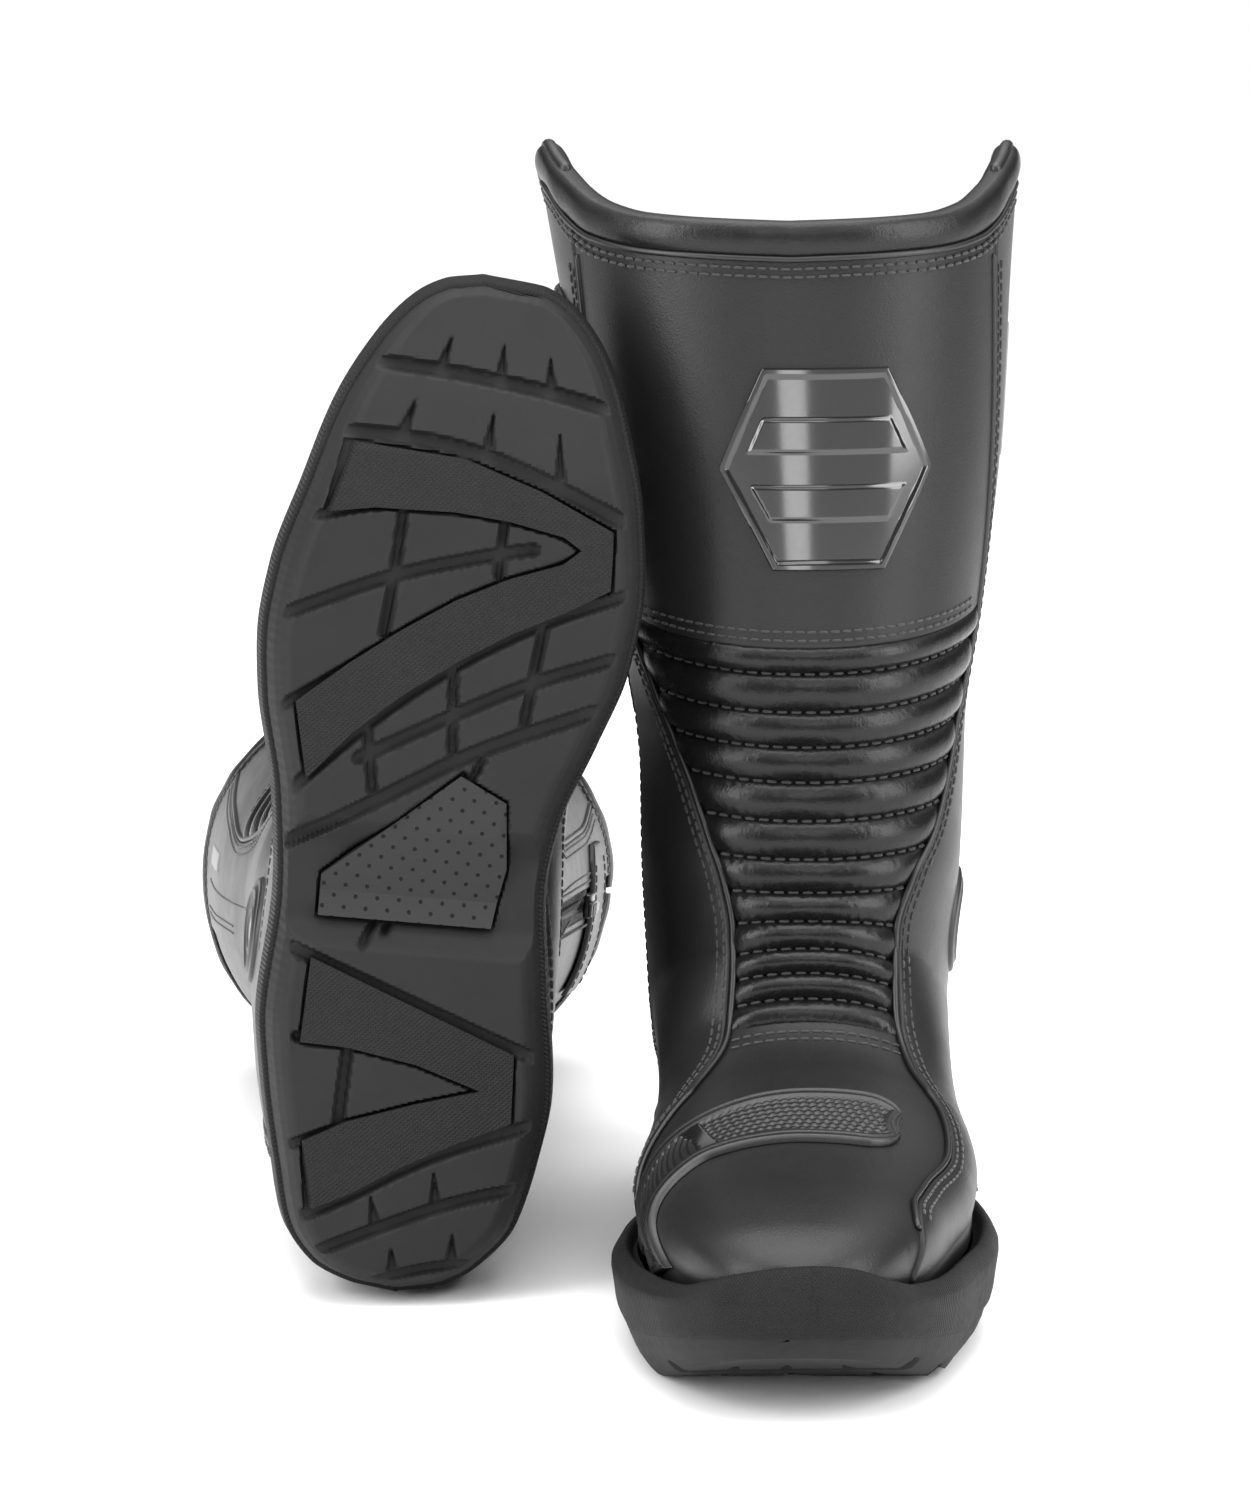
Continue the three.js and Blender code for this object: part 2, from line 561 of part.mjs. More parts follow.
// A round guard over the outer ankle bone
function ankleGuard() {
  const centreU = bisect(130, 200, (u) => skinPoint(u, 0.5).z < ANKLE_Z);
  const roundScale = 230;
  const alongScale = 2.4;
  const halfWidth = (u) => {
    return Math.sqrt(Math.max(1, GUARD_RADIUS ** 2 - ((u - centreU) * alongScale) ** 2)) / roundScale;
  };
  const reach = (GUARD_RADIUS * 0.97) / alongScale;
  return panel({
    inner: 0.9, outer: 3.9, rows: 8, columns: 4, start: fixed(centreU - reach), end: fixed(centreU + reach),
    left: (u) => 0.5 - halfWidth(u), right: (u) => 0.5 + halfWidth(u),
  });
}

// The zip's own straight frame: along points up the chain, out away from the leg
function zipFrame() {
  const low = skinPoint(ZIP_LOW, ZIP_V);
  const high = skinPoint(ZIP_TOP, ZIP_V);
  const along = high.clone().sub(low).normalize();
  const out = skinNormal((ZIP_LOW + ZIP_TOP) / 2, ZIP_V);
  const across = new THREE.Vector3().crossVectors(along, out).normalize();
  return { high, along, across, out: new THREE.Vector3().crossVectors(across, along).normalize() };
}

// A box in the zip's frame: its size and the place of its middle, as across, along and out
function zipBox(size, place) {
  const { high, along, across, out } = zipFrame();
  const geometry = new THREE.BoxGeometry(...size).translate(...place);
  const frame = new THREE.Matrix4().makeBasis(across, along, out).setPosition(high);
  return geometry.applyMatrix4(frame);
}
const zipSlider = () => zipBox([8.4, 13, 3], [0, -8, 2.6]);
const zipPull = () => zipBox([5, 26, 1.6], [0, -18, 5.5]);

const closureFlap = () => panel({
  inner: 0.9, outer: 3.1, rows: 4, columns: 8, start: fixed(317), end: fixed(351),
  left: fixed(-0.67), right: fixed(-0.4),
});

// Materials
const look = (color, roughness, metalness = 0) => new THREE.MeshStandardMaterial({ color, roughness, metalness });
const leather = look(0x1d1d1e, 0.5);
const softLeather = look(0x161617, 0.45);
const rubber = look(0x2a2a2b, 0.8);
const insertRubber = look(0x232324, 0.85);
const padding = look(0x1a1a1b, 0.6);
const moulded = look(0x101011, 0.3);
const gloss = look(0x080808, 0.12);
const textile = look(0x262627, 0.9);
const stiffBoard = look(0x6b6256, 0.8);
const steel = look(0xa8a8a8, 0.35, 1);

function boot(side) {
  const group = new THREE.Group();
  group.name = side + "_boot";
  const add = (name, geometry, material) => {
    const mesh = new THREE.Mesh(geometry, material);
    mesh.name = side + "_" + name;
    group.add(mesh);
  };
  const block = solidOf(soleBlock());
  const inserts = [
    ["forefoot_insert", FOREFOOT_INSERT, INSERT_DEPTH],
    ["heel_insert", HEEL_INSERT, INSERT_DEPTH],
    ["arch_plate", ARCH_PLATE, ARCH_LIFT + INSERT_DEPTH],
  ];
  const { x, y, z } = SHANK;
  const shankRoom = [[x[0], y[0]], [x[1], y[0]], [x[1], y[1]], [x[0], y[1]]];
  let outsole = block.subtract(solidOf(lastedRoom()));
  outsole = outsole.subtract(solidOf(innerSole(BOARD_INSET - GAP, 1 - GAP, 12)));
  outsole = outsole.subtract(solidOf(prism(grown(shankRoom, GAP), z[0] - GAP, 40)));
  for (const [name, outline, depth] of inserts) {
    outsole = outsole.subtract(treadCut(grown(outline, GAP), depth + GAP));
    add(name, geometryFrom(block.intersect(treadCut(outline, depth))), insertRubber);
  }
  add("outsole", geometryFrom(outsole), rubber);
  add("shank", shankGeometry(), steel);
  add("insole_board", innerSole(BOARD_INSET, 1, 2.8), stiffBoard);
  add("footbed", innerSole(FOOTBED_INSET, 3.6, 6.8), textile);
  add("toe_puff", toePuff(), stiffBoard);
  add("heel_counter", heelCounter(), stiffBoard);
  add("foot_lining", footLining(), textile);
  add("vamp", vamp(), leather);
  add("lateral_quarter", lateralQuarter(), leather);
  add("medial_quarter", medialQuarter(), leather);
  add("heel_panel", heelPanel(), leather);
  add("shift_pad", shiftPad(), moulded);
  add("ankle_guard", ankleGuard(), moulded);
  add("flex_panel", flexPanel(), softLeather);
  add("ankle_panel", anklePanel(), softLeather);
  add("shin_panel", shinPanel(), leather);
  add("shin_guard", shinGuard(), stiffBoard);
  add("shin_badge", badge(), gloss);
  add("lateral_shaft_panel", lateralShaftPanel(), leather);
  add("medial_shaft_panel", medialShaftPanel(), leather);
  add("calf_panel", calfPanel(), leather);
  add("shaft_lining", shaftLining(), textile);
  add("collar_pad", collarPad(), padding);
  add("zip_chain", zipChain(), textile);
  add("zip_slider", zipSlider(), steel);
  add("zip_pull", zipPull(), moulded);
  add("closure_flap", closureFlap(), leather);
  return group;
}

// The lying boot is mirrored, laid on its back, rolled and turned a little, then set down on the floor.
function lyingBoot() {
  const degrees = THREE.MathUtils.degToRad;
  const mirrored = boot("right");
  mirrored.scale.x = -1;
  mirrored.position.y = -SOLE_LENGTH;
  const onItsBack = new THREE.Group();
  onItsBack.add(mirrored);
  onItsBack.rotation.set(degrees(LYING_LEAN - 90), degrees(LYING_ROLL), degrees(LYING_YAW), "ZYX");
  const floor = new THREE.Box3().setFromObject(onItsBack, true).min.z;
  onItsBack.position.set(...LYING_HEEL, -floor);
  return onItsBack;
}

const pair = new THREE.Group();
const standing = boot("left");
standing.position.x = STANDING_X;
pair.add(standing, lyingBoot());
const extent = new THREE.Box3().setFromObject(pair, true);
const middle = extent.getCenter(new THREE.Vector3());
pair.position.set(-middle.x, -middle.y, -extent.min.z);

const ridingBoots = new THREE.Group();
ridingBoots.add(pair);
export default ridingBoots;
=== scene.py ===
"""A pair of touring motorcycle boots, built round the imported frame. A boot's shape is worked out in its own
frame, in millimetres: x to the outer side, y behind the toe tip, z over the ground. It is then placed in the
row frame, in metres, once as the left boot and once mirrored as the right one."""

import json
import math

import bmesh
import bpy
import numpy as np
from mathutils import Euler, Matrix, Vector


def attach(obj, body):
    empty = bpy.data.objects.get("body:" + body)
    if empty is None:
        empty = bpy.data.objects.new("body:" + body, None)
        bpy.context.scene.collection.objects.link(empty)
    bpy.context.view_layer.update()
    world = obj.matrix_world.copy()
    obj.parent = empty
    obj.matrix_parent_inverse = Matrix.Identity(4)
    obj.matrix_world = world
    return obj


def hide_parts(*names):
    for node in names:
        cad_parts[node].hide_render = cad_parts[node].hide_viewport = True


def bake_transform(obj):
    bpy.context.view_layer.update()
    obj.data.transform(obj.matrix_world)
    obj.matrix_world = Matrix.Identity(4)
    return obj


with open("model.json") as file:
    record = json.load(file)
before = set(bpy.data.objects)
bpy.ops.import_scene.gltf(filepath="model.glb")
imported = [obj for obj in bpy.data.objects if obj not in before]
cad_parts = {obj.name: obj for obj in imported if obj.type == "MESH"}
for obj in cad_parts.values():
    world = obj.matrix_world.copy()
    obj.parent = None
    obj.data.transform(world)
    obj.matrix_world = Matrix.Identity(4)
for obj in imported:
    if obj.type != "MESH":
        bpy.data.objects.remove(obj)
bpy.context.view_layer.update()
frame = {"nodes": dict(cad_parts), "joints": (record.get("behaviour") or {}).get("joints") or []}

MM = 0.001

# The boot's driving dimensions, as the frame has them
SOLE_LENGTH = 305
RIM_INSET = 5.8
TOE_SPRING, TOE_SPRING_LENGTH = 24, 58
ARCH_LIFT = 7
ANKLE = (0, 208, 99)
FAN_Y, FAN_Z, FAN_LENGTH = 120, 124, 60
FAN_END = FAN_Y + FAN_LENGTH
ZIP_V, ZIP_HALF_WIDTH, ZIP_LOW, ZIP_TOP = -0.5, 0.024, 220, 312
HEEL_SEAM, CALF_SEAM = 0.71, 0.6
LINING_OUTSIDE, LINING_INSIDE, LINING_STEP = -6.9, -8.3, 4
LYING_TURN = (-92.47, 5.6, 3.6)


# ---------------------------------------------------------------- curves and the boot's surface
def through(pairs):
    """A smooth curve through (position, value) pairs that never overshoots them."""
    x, y = np.array(pairs, float).T
    gaps = np.diff(x)
    slopes = np.diff(y) / gaps
    tangents = np.concatenate([slopes[:1], slopes[1:] * 0, slopes[-1:]])
    a, b = slopes[:-1], slopes[1:]
    same = a * b > 0
    tangents[1:-1][same] = 2 * a[same] * b[same] / (a + b)[same]

    def curve(at):
        at = np.clip(np.asarray(at, float), x[0], x[-1])
        i = np.clip(np.searchsorted(x, at, side="right") - 1, 0, len(gaps) - 1)
        t = (at - x[i]) / gaps[i]
        lift = t * (1 - t) * gaps[i] * ((1 - t) * tangents[i] - t * tangents[i + 1])
        return y[i] + (y[i + 1] - y[i]) * t * t * (3 - 2 * t) + lift

    return curve


lateral_edge = through([
    (0, 0), (2, 11), (8, 21), (20, 31), (40, 41.5), (64, 49), (89, 56), (108, 58), (126, 56.5), (156, 50),
    (188, 47), (220, 49), (240, 46.5), (268, 40.5), (285, 36), (297, 27), (303, 14), (305, 0)])
medial_edge = through([
    (0, 0), (2, 19), (9, 30), (23, 40), (41, 46.6), (65, 52.8), (91, 55.5), (113, 53), (136, 45.5), (160, 37),
    (178, 34.7), (207, 37.8), (243, 42.3), (262, 40), (281, 35.5), (295, 25), (302, 14), (305, 0)])


def inset(edge, distance):
    """The edge moved in, as a disc of that radius would roll along its inside."""
    fine = np.linspace(0, SOLE_LENGTH, 1221)
    steps = np.sin(np.linspace(-1, 1, 25) * math.pi / 2)
    at = fine[:, None] + steps * distance
    reach = np.where((at >= 0) & (at <= SOLE_LENGTH), edge(at), 0) - distance * np.sqrt(1 - steps**2)
    widths = np.maximum(reach.min(1), 0.6 if distance else 0)
    return lambda y: np.interp(y, fine, widths)


toe_line = through([
    (0, 41), (6, 46), (12, 50.5), (22, 55), (40, 58.5), (60, 60.5), (80, 63.5), (105, 71), (120, 74.5)])
rim_top = through([
    (0, 46), (5, 45), (12, 41.5), (22, 37.5), (40, 35), (90, 34), (240, 34), (290, 35.5), (305, 36.5)])
heel_rise = through([(120, 0), (180, 1.5), (240, 3), (305, 3)])
arch_lift = through([(160, 0), (172, ARCH_LIFT), (190, ARCH_LIFT), (199, 0)])
bend_near = through([
    (120, 49.5), (140, 46), (150, 40), (160, 35.5), (170, 33.8), (180, 34), (210, 36.5), (220, 37),
    (225, 37.15), (400, 42.4)])
bend_far = through([
    (120, 252), (150, 252), (155, 225), (160, 206), (165, 191.5), (170, 174), (175, 156.5), (180, 144.5),
    (200, 145.5), (220, 149), (225, 149.8), (400, 176)])
bend_lateral = through([
    (120, 51.5), (135, 48.5), (150, 47), (162, 47.5), (180, 50.5), (200, 51.5), (220, 52.2), (255, 57),
    (303, 62.5), (362, 65.5), (400, 68)])
bend_medial = through([
    (120, 45.4), (135, 42.5), (150, 42), (162, 43), (180, 45), (205, 45.5), (220, 47), (225, 47.9),
    (400, 78.8)])
ridge = through([(0, -4), (90, 0), (140, 3), (200, 3), (220, 2.6), (225, 2.4), (400, -4.5)])
widest = through([(6, 0.5), (40, 0.56), (100, 0.62), (130, 0.55), (160, 0.42), (180, 0.47), (220, 0.5)])
front_squareness = through([(6, 2.6), (60, 2.4), (140, 2.2), (220, 2.15)])
back_squareness = through([(6, 3.5), (130, 4.5), (153, 4.5), (160.5, 2.7), (168, 2.5), (180, 2.3)])
foot_lateral, foot_medial = inset(lateral_edge, RIM_INSET), inset(medial_edge, RIM_INSET)


def ground(y):
    return TOE_SPRING * np.maximum(0, 1 - np.asarray(y, float) / TOE_SPRING_LENGTH) ** 1.15


def last_bottom(y):
    return 19.5 + heel_rise(y) + 0.55 * ground(y)


def skin_low_edge(y):
    return 29.5 + 0.32 * ground(y)


def skin(u, v, offset=0.0):
    """Points on the boot's outer skin, moved out by an offset. u runs along the instep from the toe to the
    collar, v goes round: 0 is the front, 0.5 the outer side, -0.5 the inner side, 1 or -1 the back."""
    u, v = np.broadcast_arrays(np.asarray(u, float), np.asarray(v, float))
    point = bare_skin(u, v)
    if np.all(np.asarray(offset) == 0):
        return point
    return point + skin_normal(u, v) * np.broadcast_to(offset, u.shape)[..., None]


def bare_skin(u, v):
    around = (v - 2 * np.round(v / 2)) * math.pi
    turn = np.clip((u - FAN_Y) / FAN_LENGTH, 0, 1) * math.pi / 2
    foot = u < FAN_Y
    bottom = last_bottom(np.where(foot, u, FAN_Y + FAN_Z * np.tan(np.minimum(turn, 1.5))))
    near = np.where(foot, FAN_Z - toe_line(u), bend_near(u))
    far = np.minimum((FAN_Z - bottom) / np.maximum(np.cos(turn), 1e-6), bend_far(u))
    lateral = np.where(foot, foot_lateral(u), bend_lateral(u))
    medial = np.where(foot, foot_medial(u), bend_medial(u))
    c, sine = np.cos(around), np.abs(np.sin(around))
    side = np.where(around < 0, -1.0, 1.0)
    power = np.where(c > 0, front_squareness(u), back_squareness(u))
    reach = (np.abs(c) ** power + sine**power) ** (-1 / power)
    middle = near + (far - near) * widest(u)
    radius = middle - reach * c * np.where(c > 0, middle - near, far - middle)
    width = np.where(side > 0, lateral - ridge(u), medial + ridge(u))
    y = FAN_Y + radius * np.sin(turn) + np.minimum(u - FAN_Y, 0)
    z = FAN_Z - radius * np.cos(turn) + np.maximum(u - FAN_END, 0)
    room = np.where(side > 0, foot_lateral(y), foot_medial(y)) + 0.55 * np.maximum(0, z - 36)
    free = side * ridge(u) + reach * sine * width
    soft = (np.maximum(free, 1e-3) ** -10.0 + room**-10.0) ** -0.1
    return np.stack([side * np.where(free <= 0, free, soft), y, z], -1)


def skin_normal(u, v):
    along = bare_skin(u + 0.6, v) - bare_skin(np.maximum(u - 0.6, 0.2), v)
    round_it = bare_skin(u, v + 0.004) - bare_skin(u, v - 0.004)
    normal = np.cross(round_it, along)
    return normal / np.maximum(np.linalg.norm(normal, axis=-1, keepdims=True), 1e-9)


def bisect(low, high, is_below):
    low, high = np.array(low, float), np.array(high, float)
    for _ in range(26):
        middle = (low + high) / 2
        below = is_below(middle)
        low, high = np.where(below, middle, low), np.where(below, high, middle)
    return (low + high) / 2


def round_to_height(u, side, z):
    u = np.asarray(u, float)
    is_above = lambda v: bare_skin(u, side * v)[..., 2] > z
    return side * bisect(np.full(u.shape, 0.25), np.full(u.shape, 1.0), is_above)


def along_to_height(v, z):
    v = np.asarray(v, float)
    return bisect(np.full(v.shape, 124.0), np.full(v.shape, 230.0), lambda u: bare_skin(u, v)[..., 2] < z)


# ---------------------------------------------------------------- seams of the upper
lateral_seam = through([
    (24, 0.75), (30, 0.46), (38, 0.31), (50, 0.265), (65, 0.27), (90, 0.293), (112, 0.268), (130, 0.215),
    (145, 0.2), (165, 0.2), (178, 0.228), (190, 0.285), (203, 0.325), (220, 0.37), (236, 0.4), (256, 0.415),
    (295, 0.385), (325, 0.37), (350, 0.355), (363, 0.345)])
medial_seam = through([
    (68, -0.75), (76, -0.5), (90, -0.4), (105, -0.32), (120, -0.245), (138, -0.172), (165, -0.156),
    (178, -0.17), (190, -0.2), (203, -0.235), (218, -0.28), (234, -0.325), (254, -0.372), (310, -0.372),
    (363, -0.345)])
collar_seam_curve = through([
    (0, 363.3), (0.2, 365), (0.3, 368), (0.36, 373), (0.42, 380), (0.47, 382), (0.56, 374), (0.7, 356),
    (1, 345)])
collar_top_curve = through([
    (0, 375), (0.2, 376.5), (0.27, 379), (0.33, 384), (0.39, 390), (0.44, 394), (0.48, 393), (0.56, 386),
    (0.7, 368), (1, 357)])
band_low_height = through([(0.15, 81), (0.4, 79), (0.66, 83), (1, 87)])


def folded(v):
    return np.abs(v - 2 * np.round(np.asarray(v, float) / 2))


def fixed(value):
    """A limit that is the same everywhere."""
    return lambda a: np.full(np.shape(a), float(value))


def collar_seam(v):
    return collar_seam_curve(folded(v))


def collar_top(v):
    return collar_top_curve(folded(v))


def sole_line(side):
    return lambda u: round_to_height(u, side, skin_low_edge(u))


def flex_top(v):
    return 249.5 + 42 * np.asarray(v, float) ** 2


FLEX_LOW = 138


# ---------------------------------------------------------------- meshes
class Shape:
    """Points and faces in a boot's own frame, to which more can be added."""

    def __init__(self):
        self.points, self.faces, self.slots, self.count = [], [], [], 0

    def add(self, points, faces, slot=0):
        points = np.asarray(points, float).reshape(-1, 3)
        self.points.append(points)
        for face in faces:
            face = np.asarray(face) + self.count
            self.faces.append(face)
            self.slots.append(np.full(len(face), slot))
        self.count += len(points)
        return self


def grid_faces(rows, columns, flip=False, wrap=False):
    i, j = np.meshgrid(np.arange(rows - 1), np.arange(columns if wrap else columns - 1), indexing="ij")
    k = (j + 1) % columns
    quads = np.stack([i * columns + j, i * columns + k, (i + 1) * columns + k, (i + 1) * columns + j], -1)
    quads = quads.reshape(-1, 4)
    return quads[:, ::-1] if flip else quads


def closed_sheet(outer, inner):
    """A closed shell between two grids of the same size, facing out on the outer one."""
    rows, columns = outer.shape[:2]
    count = rows * columns
    border = np.concatenate([
        np.arange(columns), np.arange(1, rows) * columns + columns - 1,
        (rows - 1) * columns + np.arange(columns - 2, -1, -1), np.arange(rows - 2, 0, -1) * columns])
    after = np.roll(border, -1)
    sides = np.stack([border, border + count, after + count, after], -1)
    points = np.concatenate([outer.reshape(-1, 3), inner.reshape(-1, 3)])
    return points, [grid_faces(rows, columns), grid_faces(rows, columns, flip=True) + count, sides]


def spaced(length, step):
    """Shares of a length: fine at both ends, even between."""
    edge = np.array([0, 0.2, 0.5, 0.9, 1.4, 2.1])
    inner = np.linspace(edge[-1], length - edge[-1], max(2, int(round((length - 2 * edge[-1]) / step)) + 1))
    return np.concatenate([edge[:-1], inner, (length - edge[:-1])[::-1]]) / length


def region(start, end, left, right, step):
    """A grid of (u, v) between limits along the boot, functions of v, and round it, functions of u."""
    def limit(bound, t):
        u = bound(left(150) + (right(150) - left(150)) * t)
        for _ in range(14):
            v = left(u) + (right(u) - left(u)) * t
            u = u + (bound(v) - u) * 0.7
        return u

    probe = np.linspace(0, 1, 25)
    low, high = limit(start, np.array([0.5])), limit(end, np.array([0.5]))
    u = low + (high - low) * probe
    middle = bare_skin(u, (left(u) + right(u)) / 2)
    length = np.linalg.norm(np.diff(middle, axis=0), axis=1).sum()
    rounds = [bare_skin(np.full(25, a), left(a) + (right(a) - left(a)) * probe) for a in u[::6]]
    widths = [np.linalg.norm(np.diff(line, axis=0), axis=1).sum() for line in rounds]
    s, t = spaced(length, step), spaced(max(widths), step)
    low, high = limit(start, t), limit(end, t)
    u = low + (high - low) * s[:, None]
    v = left(u) + (right(u) - left(u)) * t
    return u, v


def arc(points, axis):
    """Distances from both ends of each grid line, in millimetres."""
    steps = np.linalg.norm(np.diff(points, axis=axis), axis=-1)
    pad = [(0, 0), (0, 0)]
    pad[axis] = (1, 0)
    run = np.pad(np.cumsum(steps, axis), pad)
    total = run.take([-1], axis)
    return run, total - run


def rolled(distance, radius):
    """0 at an edge to 1 at a radius from it, round like a folded edge."""
    x = 1 - np.clip(distance / radius, 0, 1)
    return np.sqrt(1 - x * x)


def edge_distance(points, edges):
    found = [d for axis, pair in ((0, "lh"), (1, "ab"))
             for d, name in zip(arc(points, axis), pair) if name in edges]
    return np.minimum.reduce(found)


def raised(u, v, base, top, low):
    """A sheet on the skin, between two heights over it."""
    normal = skin_normal(u, v)
    outer = base + normal * np.broadcast_to(top, u.shape)[..., None]
    return Shape().add(*closed_sheet(outer, base + normal * low))


def panel(start, end, left, right, height, inner=-1.8, step=2.0, fold="lhab", radius=1.5, relief=None):
    """A leather panel. fold names the edges that are turned: l low, h high, a left, b right."""
    u, v = region(start, end, left, right, step)
    base = bare_skin(u, v)
    top = inner + 0.3 + (height - inner - 0.3) * rolled(edge_distance(base, fold), radius) if fold else height
    if relief:
        top = top + relief(base)
    return raised(u, v, base, top, inner)


def unit_rows(vectors):
    return vectors / np.linalg.norm(vectors, axis=1, keepdims=True)


def across_line(tangent):
    """A direction square to each tangent."""
    helper = np.where(np.abs(tangent[:, 2:3]) < 0.8, [[0.0, 0, 1]], [[1.0, 0, 0]])
    return unit_rows(np.cross(tangent, helper))


def tube(path, radius, sides=8):
    """A tube along a path of points, with round ends."""
    path = np.asarray(path, float)
    tangent = unit_rows(np.gradient(path, axis=0))
    across = across_line(tangent)
    for i in range(1, len(path)):
        a = across[i - 1] - tangent[i] * np.dot(across[i - 1], tangent[i])
        across[i] = a / np.linalg.norm(a)
    up = np.cross(tangent, across)
    angle = np.arange(sides) / sides * 2 * math.pi
    radius = np.broadcast_to(radius, len(path)).astype(float).copy()
    ring = across[:, None] * np.cos(angle)[None, :, None] + up[:, None] * np.sin(angle)[None, :, None]
    first = np.stack([path[0] - tangent[0] * radius[0] * k for k in (0.95, 0.6)])
    last = np.stack([path[-1] + tangent[-1] * radius[-1] * k for k in (0.6, 0.95)])
    path = np.concatenate([first, path, last])
    ring = np.concatenate([ring[:1], ring[:1], ring, ring[-1:], ring[-1:]])
    radius = np.concatenate([radius[0] * np.array([0.3, 0.8]), radius, radius[-1] * np.array([0.8, 0.3])])
    points = path[:, None] + ring * radius[:, None, None]
    rows = len(path)
    ends = [np.arange(sides)[None, :], (np.arange(sides) + (rows - 1) * sides)[None, ::-1]]
    return points.reshape(-1, 3), [grid_faces(rows, sides, wrap=True, flip=True), *ends]


def resampled(path, pitch):
    run = np.concatenate([[0], np.cumsum(np.linalg.norm(np.diff(path, axis=0), axis=1))])
    at = np.arange(pitch / 2, run[-1], pitch)
    return np.stack([np.interp(at, run, path[:, k]) for k in range(3)], -1)


def stitches(shape, path, pitch=3.5, length=2.6, radius=0.42):
    """Thread stitches along a path of points that lies on the leather."""
    path = np.asarray(path, float)
    centre, ahead = resampled(path, pitch), resampled(path + np.gradient(path, axis=0) * 0.01, pitch)
    count = min(len(centre), len(ahead))
    if count < 2:
        return shape
    centre = centre[:count]
    tangent = unit_rows(np.gradient(centre, axis=0))
    across = across_line(tangent)
    up = np.cross(tangent, across)
    sides = 6
    angle = np.arange(sides) / sides * 2 * math.pi
    places, sizes = np.array([-0.5, -0.34, 0.34, 0.5]) * length, np.array([0.45, 1, 1, 0.45]) * radius
    points = (centre[:, None, None] + tangent[:, None, None] * places[None, :, None, None]
              + (across[:, None, None] * np.cos(angle)[None, None, :, None]
                 + up[:, None, None] * np.sin(angle)[None, None, :, None]) * sizes[None, :, None, None])
    each = 4 * sides
    quads = grid_faces(4, sides, wrap=True, flip=True)
    starts = np.arange(count) * each
    caps = [np.arange(sides), (np.arange(sides) + 3 * sides)[::-1]]
    faces = [(quads[None] + starts[:, None, None]).reshape(-1, 4)]
    faces += [(cap[None] + starts[:, None]) for cap in caps]
    return shape.add(points.reshape(-1, 3), faces)


def seam_path(u, v, aside=0.0, height=0.0):
    """A line on the skin, moved aside round the boot by millimetres, at a height over the skin."""
    u, v = np.broadcast_arrays(np.asarray(u, float), np.asarray(v, float))
    scale = np.linalg.norm(bare_skin(u, v + 0.002) - bare_skin(u, v - 0.002), axis=-1) / 0.004
    return skin(u, v + aside / np.maximum(scale, 20), height)


# ---------------------------------------------------------------- placing a boot's pieces
def place_of(side):
    """The turn and the shift that take a boot's own frame to the row frame."""
    pivot = next(np.array(j["pos_m"]) for j in frame["joints"] if j["name"] == side + "_ankle_flex")
    if side == "left":
        turn = np.eye(3)
        return turn, pivot / MM - turn @ np.array(ANKLE)
    angles = [math.radians(a) for a in LYING_TURN]
    turn = np.array(Euler(angles, "XYZ").to_matrix()) @ np.diag([-1, 1, 1])
    return turn, pivot / MM - turn @ np.array(ANKLE)


PLACES = {side: place_of(side) for side in ("left", "right")}


def in_row(side, points):
    turn, shift = PLACES[side]
    return (np.asarray(points, float) @ turn.T + shift) * MM


def make_piece(side, name, shape, materials, body, slot, replaces=(), bends=False, pad=None, pattern=None):
    """Builds one piece, attaches it to its body unless it bends, and hides the nodes that it stands for. The
    slot is not used.
    """
    points = np.concatenate(shape.points)
    mesh = bpy.data.meshes.new(f"{side}_{name}")
    faces = [face for group in shape.faces for face in group.tolist()]
    if side == "right":
        faces = [face[::-1] for face in faces]
    mesh.from_pydata(in_row(side, points).tolist(), [], faces)
    mesh.polygons.foreach_set("use_smooth", np.ones(len(faces), bool))
    for material in materials:
        mesh.materials.append(material)
    if len(materials) > 1:
        mesh.polygons.foreach_set("material_index", np.concatenate(shape.slots).astype(np.int32))
    local = mesh.attributes.new("local", "FLOAT_VECTOR", "POINT")
    local.data.foreach_set("vector", (points if pattern is None else pattern).astype(np.float32).ravel())
    mesh.validate()
    mesh.update()
    piece = bpy.data.objects.new(f"{side}_{name}_shown", mesh)
    bpy.context.scene.collection.objects.link(piece)
    mesh.set_sharp_from_angle(angle=math.radians(50))
    if bends:
        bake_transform(piece)
    else:
        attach(piece, f"{side}_{body}")
    if replaces:
        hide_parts(*[f"{side}_{node}" for node in replaces])
    return piece


